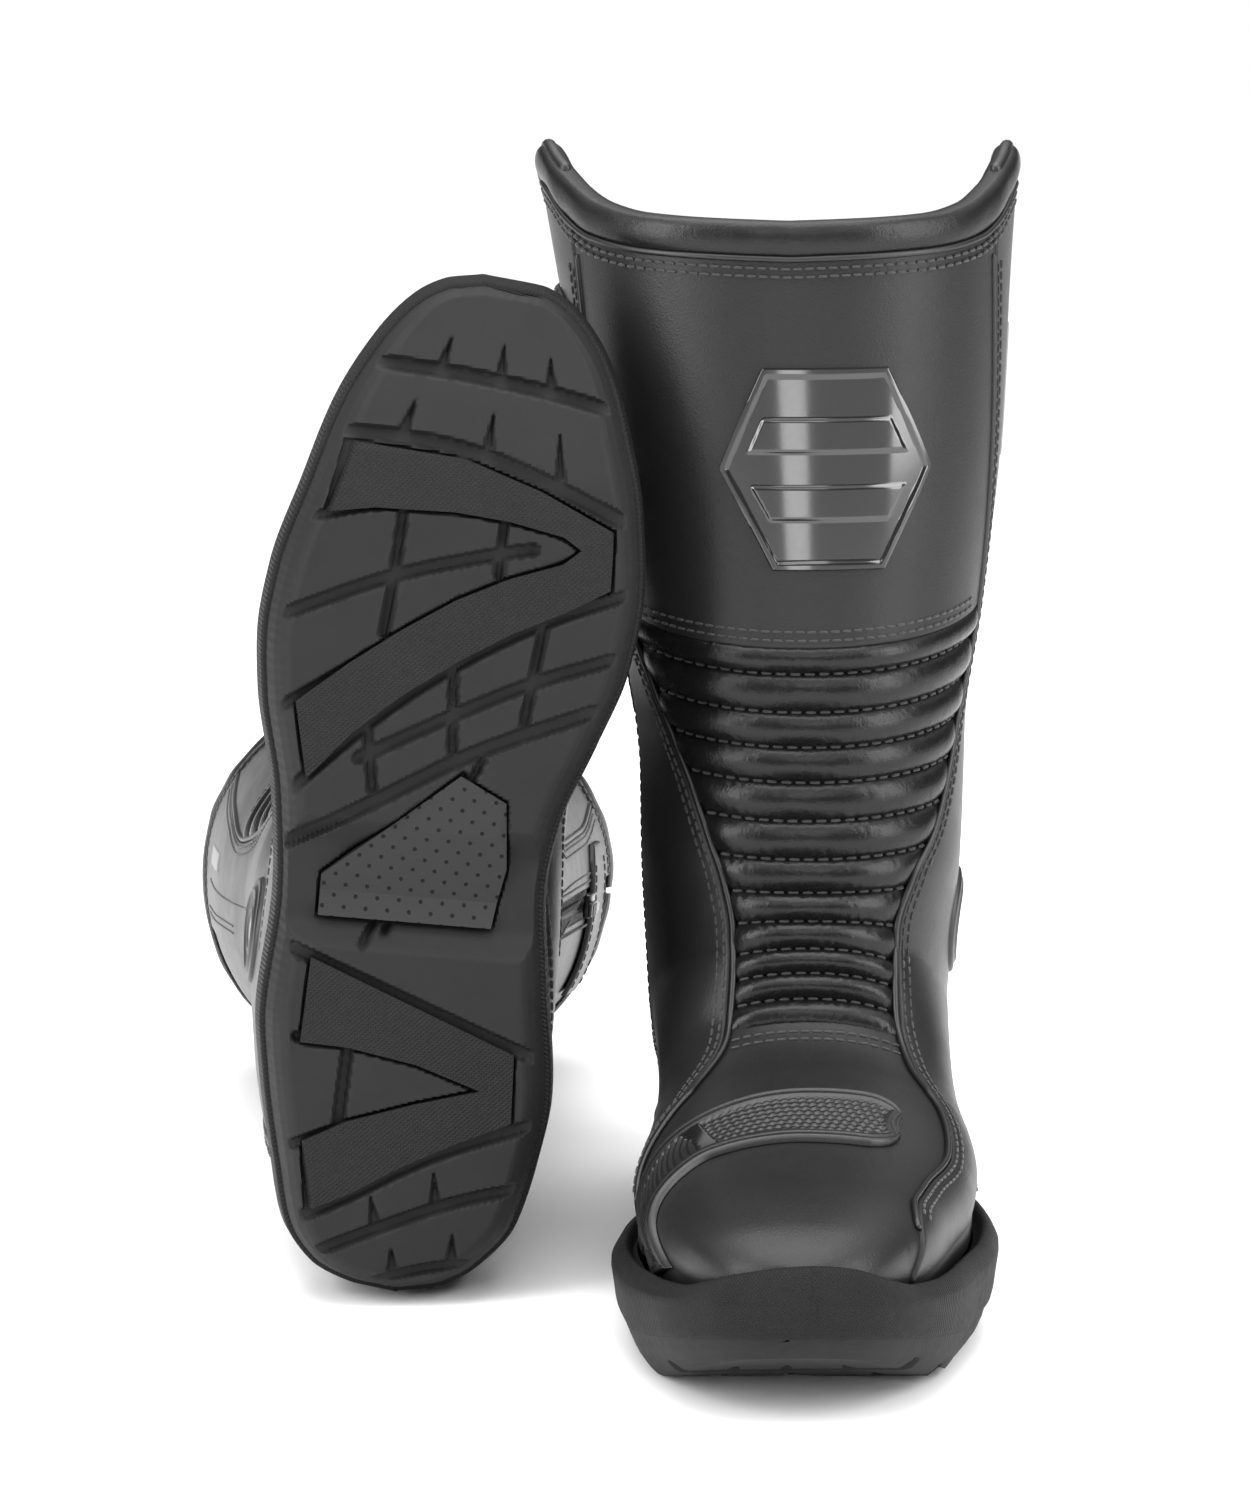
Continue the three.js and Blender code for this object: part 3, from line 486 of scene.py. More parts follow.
# ---------------------------------------------------------------- materials
class Nodes:
    """A material's node tree, with short calls for the nodes that the finishes use."""

    def __init__(self, name, color, roughness, metallic=0.0, specular=0.5, coat=0.0, sheen=0.0):
        self.material = bpy.data.materials.new(name)
        self.material.use_nodes = True
        self.tree = self.material.node_tree
        self.shader = self.tree.nodes["Principled BSDF"]
        self.color, self.roughness = color, roughness
        values = {"Metallic": metallic, "Specular IOR Level": specular, "Coat Weight": coat,
                  "Coat Roughness": 0.1, "Sheen Weight": sheen, "Roughness": roughness,
                  "Base Color": (*color, 1)}
        for socket, value in values.items():
            self.shader.inputs[socket].default_value = value
        self.shader.inputs["Sheen Roughness"].default_value = 0.5
        self.place = self.node("ShaderNodeAttribute", attribute_name="local").outputs["Vector"]
        self.normal = None

    def node(self, kind, inputs=(), **settings):
        made = self.tree.nodes.new(kind)
        for key, value in settings.items():
            setattr(made, key, value)
        for key, value in dict(inputs).items():
            if isinstance(value, bpy.types.NodeSocket):
                self.tree.links.new(value, made.inputs[key])
            else:
                made.inputs[key].default_value = value
        return made

    def math(self, operation, a, b=0.0, c=0.0):
        return self.node("ShaderNodeMath", {0: a, 1: b, 2: c}, operation=operation).outputs[0]

    def parts(self):
        return self.node("ShaderNodeSeparateXYZ", {0: self.place}).outputs

    def noise(self, scale, detail=2.0, rough=0.5):
        inputs = {"Vector": self.place, "Scale": scale, "Detail": detail, "Roughness": rough}
        return self.node("ShaderNodeTexNoise", inputs).outputs["Fac"]

    def cells(self, scale):
        made = self.node("ShaderNodeTexVoronoi", {"Vector": self.place, "Scale": scale}, feature="F1")
        return made.outputs["Distance"]

    def spread(self, value, low, high, to_low, to_high):
        made = self.node("ShaderNodeMapRange", {0: value, 1: low, 2: high, 3: to_low, 4: to_high})
        return made.outputs[0]

    def bump(self, height, distance, strength=1.0):
        inputs = {"Height": height, "Distance": distance * MM, "Strength": strength}
        if self.normal is not None:
            inputs["Normal"] = self.normal
        self.normal = self.node("ShaderNodeBump", inputs).outputs["Normal"]
        self.tree.links.new(self.normal, self.shader.inputs["Normal"])
        return self

    def vary(self, amount, value):
        """Colour goes up and down by a share of itself with a value from 0 to 1."""
        dark = tuple(c * (1 - amount) for c in self.color) + (1,)
        light = tuple(min(c * (1 + amount), 1) for c in self.color) + (1,)
        mix = self.node("ShaderNodeMix", {0: value, 6: dark, 7: light}, data_type="RGBA")
        self.tree.links.new(mix.outputs[2], self.shader.inputs["Base Color"])
        return self

    def rough(self, value, amount):
        low, high = max(self.roughness - amount, 0.02), min(self.roughness + amount, 1)
        self.tree.links.new(self.spread(value, 0, 1, low, high), self.shader.inputs["Roughness"])
        return self


def leather(name, color, roughness, grain=0.05, crease=0.0):
    """Coated leather: fine pebble grain, slow variation of gloss and soft creases."""
    n = Nodes(name, color, roughness, specular=0.26)
    slow = n.noise(0.035, 3)
    n.vary(0.14, slow).rough(n.noise(0.12, 3), 0.06)
    if crease:
        n.bump(n.noise(0.22, 4, 0.6), crease)
    n.bump(n.cells(1.5), grain)
    n.bump(n.noise(3.2, 2), grain * 0.8)
    return n.material


def diamonds(n, pitch, depth):
    """Fine diamond knurling over the boot's x and y, or what the pattern gives in their place."""
    x, y, _ = n.parts()
    a = n.math("PINGPONG", n.math("ADD", x, y), pitch)
    b = n.math("PINGPONG", n.math("SUBTRACT", x, y), pitch)
    n.bump(n.math("MINIMUM", n.math("DIVIDE", a, pitch), n.math("DIVIDE", b, pitch)), depth)
    return n


def rubber(name, color, roughness, pitch=0.0, depth=0.0):
    n = Nodes(name, color, roughness, specular=0.16)
    n.vary(0.16, n.noise(0.05, 4)).rough(n.noise(0.3, 3), 0.08)
    if pitch:
        diamonds(n, pitch, depth)
    n.bump(n.noise(2.5, 3), 0.05)
    return n.material


def rim_rubber(name, color):
    """The rim's wall: diamond knurling that gives way to upright ribs at the toe. The pattern attribute
    holds the run along the rim, the height and the nearness to the toe."""
    n = Nodes(name, color, 0.6, specular=0.15)
    n.vary(0.14, n.noise(0.06, 4)).rough(n.noise(0.3, 3), 0.08)
    run, height, toe = n.parts()
    ribs = n.math("DIVIDE", n.math("PINGPONG", run, 0.7), 0.7)
    a = n.math("PINGPONG", n.math("ADD", run, height), 0.55)
    b = n.math("PINGPONG", n.math("SUBTRACT", run, height), 0.55)
    knurl = n.math("DIVIDE", n.math("MINIMUM", a, b), 0.55)
    share = n.spread(toe, 0.25, 0.45, 0, 1)
    rest = n.math("MULTIPLY", knurl, n.math("SUBTRACT", 1.0, share))
    mixed = n.math("ADD", n.math("MULTIPLY", ribs, share), rest)
    n.bump(mixed, 0.22)
    n.bump(n.noise(2.5, 3), 0.04)
    return n.material


def perforated(name, color):
    """The arch plate's rubber with its field of small round holes: a bump sinks each hole, and painted shade
    makes its colour nearly black inside.
    """
    n = Nodes(name, color, 0.65, specular=0.2)
    x, y, _ = n.parts()
    pitch, radius = 6.4, 0.55
    row = n.math("FLOOR", n.math("DIVIDE", y, pitch * 0.5))
    shift = n.math("MULTIPLY", n.math("MODULO", row, 2.0), pitch * 0.5)
    across = n.math("PINGPONG", n.math("ADD", x, shift), pitch * 0.5)
    down = n.math("SUBTRACT", n.math("FRACT", n.math("DIVIDE", y, pitch * 0.5)), 0.5)
    down = n.math("MULTIPLY", down, pitch * 0.5)
    squares = n.math("ADD", n.math("MULTIPLY", across, across), n.math("MULTIPLY", down, down))
    distance = n.math("SQRT", squares)
    hole = n.spread(distance, radius * 0.75, radius * 1.15, 0.0, 1.0)
    # Painted shade: the colour goes nearly black inside each hole, where the hole's depth would lie in shade.
    n.vary(0.9, hole)
    n.bump(hole, 0.9)
    n.bump(n.noise(2.5, 3), 0.05)
    return n.material


def woven(name, color, roughness=0.9, pitch=0.9, depth=0.2):
    n = Nodes(name, color, roughness, specular=0.25, sheen=0.25)
    x, y, z = n.parts()
    wide = n.math("DIVIDE", n.math("PINGPONG", n.math("ADD", x, y), pitch), pitch)
    high = n.math("DIVIDE", n.math("PINGPONG", z, pitch), pitch)
    n.vary(0.3, n.noise(0.4, 4))
    n.bump(n.math("MULTIPLY", wide, high), depth)
    n.bump(n.noise(3.0, 3), 0.12)
    return n.material


def plain(name, color, roughness, metallic=0.0, coat=0.0, grain=0.03, scale=1.2):
    n = Nodes(name, color, roughness, metallic=metallic, coat=coat)
    n.vary(0.1, n.noise(0.08, 3)).rough(n.noise(0.5, 3), min(0.06, roughness * 0.3))
    n.bump(n.noise(scale, 3), grain)
    return n.material


def with_object_place(material):
    """The same finish for a CAD node, whose place is its own coordinates in metres."""
    tree = material.node_tree
    source = next(n for n in tree.nodes if n.type == "ATTRIBUTE")
    coordinates = tree.nodes.new("ShaderNodeTexCoord")
    scale = tree.nodes.new("ShaderNodeVectorMath")
    scale.operation = "SCALE"
    scale.inputs["Scale"].default_value = 1 / MM
    tree.links.new(coordinates.outputs["Object"], scale.inputs[0])
    for link in list(source.outputs["Vector"].links):
        tree.links.new(scale.outputs[0], link.to_socket)
    tree.nodes.remove(source)
    return material


UPPER = leather("upper_leather", (0.011, 0.011, 0.0113), 0.38)
SOFT = leather("soft_leather", (0.005, 0.005, 0.0051), 0.27, grain=0.04, crease=0.22)
COLLAR = leather("collar_leather", (0.008, 0.008, 0.0082), 0.31, grain=0.04, crease=0.2)
SOLE = rubber("sole_rubber", (0.013, 0.013, 0.0132), 0.6)
RIM = rim_rubber("rim_rubber", (0.008, 0.008, 0.0082))
INSERT = rubber("insert_rubber", (0.010, 0.010, 0.0102), 0.62, 0.75, 0.3)
ARCH = perforated("arch_rubber", (0.011, 0.011, 0.0112))
MOULDED = plain("moulded_trim", (0.006, 0.006, 0.0061), 0.42, grain=0.04)
GLOSS = plain("gloss_badge", (0.008, 0.008, 0.0085), 0.14, coat=0.6, grain=0.008)
PIPING = plain("piping", (0.004, 0.004, 0.0042), 0.4)
THREAD = woven("thread", (0.022, 0.022, 0.0225), 0.5, 0.35, 0.12)
SILVER = plain("silver_print", (0.22, 0.22, 0.225), 0.45, metallic=0.4)
ZIP_METAL = plain("zip_metal", (0.06, 0.06, 0.065), 0.32, metallic=0.9, grain=0.01)
TAPE = woven("zip_tape", (0.014, 0.014, 0.0145), 0.85, 0.6, 0.15)
MESH_LINING = woven("lining_fabric", (0.045, 0.045, 0.048), 0.92, 1.3, 0.4)
FOOTBED = woven("footbed_fabric", (0.075, 0.075, 0.08), 0.95, 0.8, 0.25)
BOARD = with_object_place(plain("board", (0.30, 0.26, 0.21), 0.85, grain=0.15, scale=0.8))
GUARD = with_object_place(plain("guard_plastic", (0.08, 0.08, 0.085), 0.5))
SHANK_STEEL = with_object_place(plain("shank_steel", (0.55, 0.55, 0.56), 0.35, metallic=1.0, grain=0.01))

# ---------------------------------------------------------------- the sole
# Tread drawing, in x and y: channels as (half width, points), sipes as (from, to) wedges
CHANNELS = [
    (1.9, [(30, 27), (9.2, 28), (-9, 30), (-23.3, 31.9), (-41, 35.6)]),
    (2.1, [(42, 47.4), (17.4, 47.7), (-1.4, 50.3), (-20.5, 56.4), (-50, 68.5)]),
    (1.5, [(47, 73.6), (27, 67.3), (3.5, 66.5), (-12.5, 68.2), (-28.5, 71.4), (-35.5, 75.6)]),
    (1.5, [(-35.5, 76.5), (-29.2, 81.5), (-14.1, 86.8), (1, 94.5), (15.7, 104.7), (30.5, 115.8), (52, 131)]),
    (1.7, [(-50, 87.4), (-30.6, 95.5), (-15.7, 103.1), (-0.7, 112.6), (13.8, 123.4), (28.5, 136.6), (48, 157)]),
    (1.8, [(50, 101.5), (20.5, 87.7), (-9.4, 79.2), (-20, 77)]),
    (1.4, [(18.6, 68), (19.6, 88), (21.2, 105)]), (1.3, [(-10.9, 69), (-10.7, 86)]),
    (1.8, [(25, 142), (-0.8, 127.5), (-23.2, 115.8), (-46, 107.2)]),
    (1.4, [(23.3, 134), (20.5, 151)]), (1.4, [(0, 114), (-1.8, 138)]), (1.4, [(-25.1, 99), (-22, 128)]),
    (2.0, [(44, 169.2), (14.4, 151.6), (-7.8, 137.6), (-42, 123)]),
    (1.1, [(-5.7, 144.7), (19.2, 197.2)]), (1.1, [(-10.9, 140), (13.1, 193.6)]),
    (1.0, [(-18.5, 152), (-5, 152)]), (1.0, [(-18, 172), (3.5, 171.6)]),
    (2.0, [(42, 199), (-29.1, 225.6), (-34, 227)]),
    (1.6, [(36, 226), (20.9, 226.6), (0.5, 230.2), (-20.4, 237), (-22, 238.4)]),
    (1.6, [(-22, 238.6), (-0.6, 244.6), (19.1, 251.2), (36, 259)]),
    (1.6, [(20.9, 228), (21.8, 251)]),
    (1.8, [(-36, 247), (-12.9, 255.8), (2.2, 263.5), (16.9, 272.9), (35, 282)]),
    (1.7, [(31, 293), (8.3, 281.9), (-14.6, 271.7), (-37, 265.6)]),
    (1.6, [(20, 303), (-0.9, 294.5), (-16.4, 290.6), (-33, 289.9)])]
SIPES = [
    ((11.2, 28.2), (8.6, 18.5)), ((-6.6, 30.2), (-6.8, 19.6)), ((-21.5, 31.7), (-20.6, 22)),
    ((20.5, 46.3), (17.7, 37)), ((-4.3, 50), (-5.2, 39.2)), ((-26.2, 58.4), (-24.8, 43.6)),
    ((7.9, 281.3), (10.3, 272.5)), ((-9.1, 273.8), (-7.7, 263.7)), ((1.8, 294.9), (2.9, 287.4)),
    ((-15.5, 290.9), (-14.8, 281.8))]
INSERTS = [
    [(37, 50), (2, 52.5), (-21, 60), (-43, 70), (-43.5, 87), (-31, 94.5), (-16, 102), (-1, 111.5),
     (14, 122.5), (28, 135), (40, 149.5), (45, 127), (30.5, 114.5), (16, 103.5), (1, 93.5), (-14, 86),
     (-29, 80.5),
     (-34, 76), (-28.5, 72.5), (-12.5, 69.4), (3.5, 68), (27, 68.6), (41, 71)],
    [(34, 202), (-28, 226.5), (-29, 247), (-13, 254.5), (2, 262.5), (17, 272), (29, 278), (32, 257), (19, 250),
     (-0.6, 243.3), (-19, 238), (0.5, 231.6), (21, 228), (35, 227.5)],
    [(33, 178), (-5, 145), (-19, 152), (-21, 172), (-18, 190), (33, 190)]]
INSERT_DEPTH, CHANNEL_DEPTH, SIPE_DEPTH = 3, 3.4, 2.6
TREAD_INSET = 3.1
RING_COUNT = 260
RIM_RIB_PITCH = 1.4
# The rim is higher in the middle of the toe and lower beside the ball of the foot
TOE_SWELL, INNER_DROP, OUTER_DROP = 3.2, 4.2, 2.2


def to_segment(x, y, a, b, taper=False):
    """Distance to a segment; with taper, also the share of the way along it."""
    (ax, ay), (bx, by) = a, b
    length = (bx - ax) ** 2 + (by - ay) ** 2
    t = np.clip(((x - ax) * (bx - ax) + (y - ay) * (by - ay)) / length, 0, 1)
    d = np.hypot(x - ax - t * (bx - ax), y - ay - t * (by - ay))
    return (d, t) if taper else d


def smooth_line(points):
    """More points on a drawn line, rounded at its corners."""
    points = np.array(points, float)
    for _ in range(2):
        cut = np.stack([points[:-1] * 0.75 + points[1:] * 0.25, points[:-1] * 0.25 + points[1:] * 0.75], 1)
        points = np.concatenate([points[:1], cut.reshape(-1, 2), points[-1:]])
    return points


def signed_to_polygon(x, y, outline):
    """Distance to a closed outline, below 0 inside."""
    away = np.full(x.shape, 1e9)
    inside = np.zeros(x.shape, bool)
    for (ax, ay), (bx, by) in zip(outline, outline[1:] + outline[:1]):
        away = np.minimum(away, to_segment(x, y, (ax, ay), (bx, by)))
        crosses = (ay > y) != (by > y)
        with np.errstate(divide="ignore", invalid="ignore"):
            inside ^= crosses & (x < (bx - ax) * (y - ay) / ((by - ay) or 1e-9) + ax)
    return np.where(inside, -away, away)


def tread_height(x, y):
    """How far the tread's face lies over its lowest plane, before the edge's chamfer."""
    cut = np.zeros(x.shape)
    for half, points in CHANNELS:
        line = smooth_line(points)
        away = np.minimum.reduce([to_segment(x, y, a, b) for a, b in zip(line[:-1], line[1:])])
        cut = np.maximum(cut, CHANNEL_DEPTH * np.clip((half + 0.45 - away) / 0.9, 0, 1) ** 0.8)
    for a, b in SIPES:
        away, t = to_segment(x, y, a, b, taper=True)
        cut = np.maximum(cut, SIPE_DEPTH * np.clip((1.7 * (1 - t) + 0.5 - away) / 0.9, 0, 1))
    for outline in INSERTS:
        inside = np.clip((0.9 - signed_to_polygon(x, y, outline)) / 0.5, 0, 1)
        cut = np.maximum(cut, (INSERT_DEPTH + 0.6) * inside)
    return cut


def outline_of(distance, count=RING_COUNT):
    """A closed ring of points on the sole's plan, moved in by a distance."""
    lateral, medial = inset(lateral_edge, distance), inset(medial_edge, distance)
    angle = (np.arange(2 * count) + 0.5) / count * math.pi
    y = distance + (SOLE_LENGTH - 2 * distance) * (1 - np.cos(angle)) / 2
    return np.stack([np.where(angle < math.pi, lateral(y), -medial(y)), y], -1)


def wall_ring(distance, height):
    """The same ring at a height, starting at the heel."""
    ring = np.roll(outline_of(distance), RING_COUNT, axis=0)
    return np.concatenate([ring, height(ring[:, 1])[:, None]], 1)


def sole_wall():
    """The sole's side wall and rim as one ring section, swept round the plan."""
    profile = [
        (9, lambda y: 15 + 0.7 * ground(y)), (3.6, lambda y: 13.4 + 0.65 * ground(y)),
        (2.2, lambda y: 13.2 + 0.65 * ground(y)), (1.6, lambda y: 13.7 + 0.65 * ground(y)),
        (1.3, lambda y: 15 + 0.64 * ground(y)), (0.8, lambda y: 19 + 0.6 * ground(y)),
        (0.1, lambda y: 25 + 0.5 * ground(y)),
        (0.2, lambda y: 0.5 * (25 + 0.5 * ground(y)) + 0.5 * (rim_top(y) - 2.4)),
        (0.9, lambda y: rim_top(y) - 3.4), (1.7, lambda y: rim_top(y) - 1.8), (2.6, lambda y: rim_top(y) - 0.7),
        (3.6, lambda y: rim_top(y) - 0.1), (4.5, lambda y: rim_top(y) - 0.2), (5.4, lambda y: rim_top(y) - 1.2),
        (6.4, lambda y: rim_top(y) - 3),
        (7.6, lambda y: rim_top(y) - 6), (8.4, lambda y: np.minimum(rim_top(y) - 8, last_bottom(y) - 0.5)),
        (9, lambda y: 16 + 0.7 * ground(y))]
    rings = np.stack([wall_ring(*level) for level in profile])
    rows, columns = rings.shape[:2]
    x, y = rings[0, :, 0], rings[0, :, 1]
    along = np.clip((y - 35) / 50, 0, 1) * np.clip((250 - y) / 50, 0, 1)
    drop = along * np.where(x < 0, INNER_DROP, OUTER_DROP) * np.clip(np.abs(x) / 10, 0, 1)
    wave = TOE_SWELL * np.exp(-((x / 17) ** 2) - (y / 26) ** 2) - drop
    rings[8:-3, :, 2] += wave
    rings[6:8, :, 2] += wave * np.array([[0.35], [0.7]])
    shape = Shape()
    shape.add(rings, [grid_faces(rows, columns, wrap=True, flip=True)])
    i = np.arange(columns)
    last = (rows - 1) * columns
    shape.faces.append(np.stack([last + i, last + (i + 1) % columns, (i + 1) % columns, i], -1)[:, ::-1])
    shape.slots.append(np.zeros(columns, int))
    level = rings[5]
    run = np.cumsum(np.linalg.norm(np.diff(level, axis=0, prepend=level[-1:]), axis=1))
    run *= round(run.max() / RIM_RIB_PITCH) * RIM_RIB_PITCH / run.max()
    toe = np.clip((rings[..., 1] - 8) / 60, 0, 1)
    pattern = np.stack([np.broadcast_to(run, (rows, columns)), rings[..., 2], toe], -1)
    return shape, pattern.reshape(-1, 3)


def sole_tread():
    """The tread: a fine height field under a plain top face."""
    lateral, medial = inset(lateral_edge, TREAD_INSET), inset(medial_edge, TREAD_INSET)
    rows, columns = 430, 150
    s = (1 - np.cos(np.linspace(0.02, math.pi - 0.02, rows))) / 2 * 0.25 + np.linspace(0.0, 1, rows) * 0.75
    y = (TREAD_INSET + 0.1 + (SOLE_LENGTH - 2 * TREAD_INSET - 0.2) * s)[:, None]
    t = np.sin((np.linspace(0, 1, columns) - 0.5) * math.pi * 0.86) / (2 * math.sin(0.43 * math.pi)) + 0.5
    x = -medial(y) + (lateral(y) + medial(y)) * t
    y = np.broadcast_to(y, x.shape)
    rim = outline_of(0.0, 150)
    away = np.full(x.shape, 1e9)
    for point in rim:
        away = np.minimum(away, np.hypot(x - point[0], y - point[1]))
    lift = arch_lift(y)
    rise = np.interp(away, [3.0, 3.8, 5.4, 7.6, 9.2, 10.4], [13.4, 9.4, 5.2, 2.0, 0.5, 0.0])
    base = np.where(away < 10.4, ground(y) * (1 - 0.35 * np.clip((10.4 - away) / 7, 0, 1)) + rise, ground(y))
    z = np.maximum(base, ground(y) + lift)
    cut = tread_height(x, y)
    z = np.maximum(z, np.minimum(z + cut, ground(y) + lift + cut))
    under = np.stack([x, y, z], -1)
    over = np.stack([x, y, np.maximum(z + 2, 17 + 0.55 * ground(y))], -1)
    return Shape().add(*closed_sheet(over, under))


# ---------------------------------------------------------------- the upper
RIB_SEAMS = [249.5, 241, 229.5, 219, 208.5, 197, 185.5, 175, 165.5, 157, 150.5, 144.5, 138]
RIB_HEIGHT = 3.0


def rib_seam(k, v):
    """Where a stitched channel of the ribbed panel runs: lifted to the sides at the top, level at the toe."""
    bow = 42 - 50 * k / (len(RIB_SEAMS) - 1)
    return RIB_SEAMS[k] + bow * np.asarray(v, float) ** 2


def ribbed_panel():
    """The padded instep panel: full ribs between stitched channels, with puckers along the stitches."""
    columns = 120
    shares = np.linspace(0, 1, 13)
    rows_u = []
    for k in range(len(RIB_SEAMS) - 1, 0, -1):
        rows_u += [(k, s) for s in shares[:-1]]
    rows_u.append((1, 1.0))
    t = np.linspace(0, 1, columns)
    u = np.full((len(rows_u), columns), 200.0)
    for _ in range(10):
        left, right = medial_seam(u) - 0.012, lateral_seam(u) + 0.012
        v = left + (right - left) * t
        for i, (k, s) in enumerate(rows_u):
            low, high = rib_seam(k, v[i]), rib_seam(k - 1, v[i])
            u[i] = low + (high - low) * s
    share = np.array([s for _, s in rows_u])[:, None]
    rib = np.array([k for k, _ in rows_u])[:, None]
    full = np.sin(math.pi * share) ** 0.62
    base = bare_skin(u, v)
    aside, other = arc(base, 1)
    ends = rolled(np.minimum(aside, other) - 2.0, 9)
    along = aside + 3.1 * rib
    pucker = np.sin(along * 1.55 + np.sin(along * 0.37 + rib) * 2.1) * np.sin(along * 0.21 + 2.0 * rib)
    near_stitch = np.exp(-((share / 0.22) ** 2)) + np.exp(-(((1 - share) / 0.22) ** 2))
    sag = 0.22 * np.sin(along * 0.13 + rib * 1.7) * full
    height = -0.9 + RIB_HEIGHT * full * (0.25 + 0.75 * ends) + 0.2 * pucker * near_stitch + sag
    return raised(u, v, base, height, -2.4)


def ankle_swell(base):
    """Leather swells a little over the ankle bone."""
    away = np.hypot(base[..., 1] - 214, base[..., 2] - 97)
    return 0.7 * np.exp(-((away / 26) ** 2))


def shifted(curve, by):
    return lambda a: curve(a) + by


def ease(at, start, length):
    """0 up to a start, 1 from a length behind it."""
    return np.clip((at - start) / length, 0, 1)


def upper_panels():
    """Every leather panel of one boot: name, shape, material, body, what it replaces, whether it bends."""
    collar_edge = shifted(collar_seam, 1)
    band = lambda by: (lambda v: along_to_height(v, band_low_height(folded(v)) + by))
    heel_line = HEEL_SEAM + 0.012
    vamp_outer = lambda u: np.minimum(lateral_seam(u) + 0.02, sole_line(1)(u))
    vamp_inner = lambda u: np.maximum(medial_seam(u) - 0.02, sole_line(-1)(u))
    outer_back = lambda u: np.minimum(sole_line(1)(u), HEEL_SEAM - 0.11 * ease(u, 205, 30) + 0.012)
    inner_back = lambda u: np.maximum(sole_line(-1)(u), -np.minimum(
        heel_line, heel_line + (-ZIP_V - ZIP_HALF_WIDTH - heel_line) * ease(u, 190, 22)))
    calf_outer = lambda u: HEEL_SEAM - 0.02 - 0.12 * ease(u, 205, 30)
    calf_inner = lambda u: 2 - HEEL_SEAM + (HEEL_SEAM + ZIP_V - ZIP_HALF_WIDTH) * ease(u, 190, 22)
    vamp = panel(fixed(6.4), fixed(FLEX_LOW + 1.5), vamp_inner, vamp_outer, 0.0, fold="h")
    lateral = panel(fixed(28), collar_edge, lateral_seam, outer_back, 1.3, fold="a", radius=1.3,
                    relief=ankle_swell)
    medial = panel(fixed(76), collar_edge, inner_back, medial_seam, 1.3, fold="ab", radius=1.3)
    heel = panel(lambda v: along_to_height(v, skin_low_edge(SOLE_LENGTH)), band(1), fixed(HEEL_SEAM - 0.01),
                 fixed(2 - HEEL_SEAM + 0.01), 2.0, fold="hab", radius=1.4)
    calf = panel(band(-2), collar_edge, calf_outer, calf_inner, 0.6, fold="ab", step=2.6)
    shin = panel(shifted(flex_top, -1.5), collar_edge, shifted(medial_seam, -0.01), shifted(lateral_seam, 0.01),
                 0.8, fold="l")
    return [
        ("vamp", vamp, UPPER, "foot", ["vamp"], False),
        ("lateral_side", lateral, UPPER, "shaft", ["lateral_quarter", "lateral_shaft_panel"], True),
        ("medial_side", medial, UPPER, "shaft", ["medial_quarter", "medial_shaft_panel"], True),
        ("heel_panel", heel, UPPER, "foot", ["heel_panel"], False),
        ("calf_panel", calf, UPPER, "shaft", ["calf_panel", "ankle_panel"], True),
        ("shin_panel", shin, UPPER, "shaft", ["shin_panel"], False)]


def collar_roll():
    """The padded collar: a soft roll from its seam over the top edge to the lining."""
    v = np.linspace(ZIP_V + 0.006, 2 + ZIP_V - 0.006, 330)
    bottom, top = collar_seam(v), collar_top(v)
    angle = np.linspace(0, 2 * math.pi, 29)[:-1]
    u_share = 0.5 - 0.5 * np.cos(angle)
    outside = np.sin(angle)
    full = np.where(outside > 0, np.abs(outside) ** 0.7, -np.abs(outside) ** 0.7)
    middle, half = -2.4, 4.6
    u = bottom[:, None] + (top - bottom)[:, None] * u_share
    ripple = 0.16 * np.sin(v * 61 + np.sin(v * 17) * 2)[:, None] * np.abs(outside)
    points = skin(u, v[:, None] + 0 * u, middle + half * full + ripple)
    rows, columns = points.shape[:2]
    shape = Shape().add(points, [grid_faces(rows, columns, wrap=True)])
    for k, flip in ((0, False), (rows - 1, True)):
        cap = np.arange(columns) + k * columns
        shape.faces.append(cap[None, ::-1] if not flip else cap[None])
        shape.slots.append(np.zeros(1, int))
    return shape


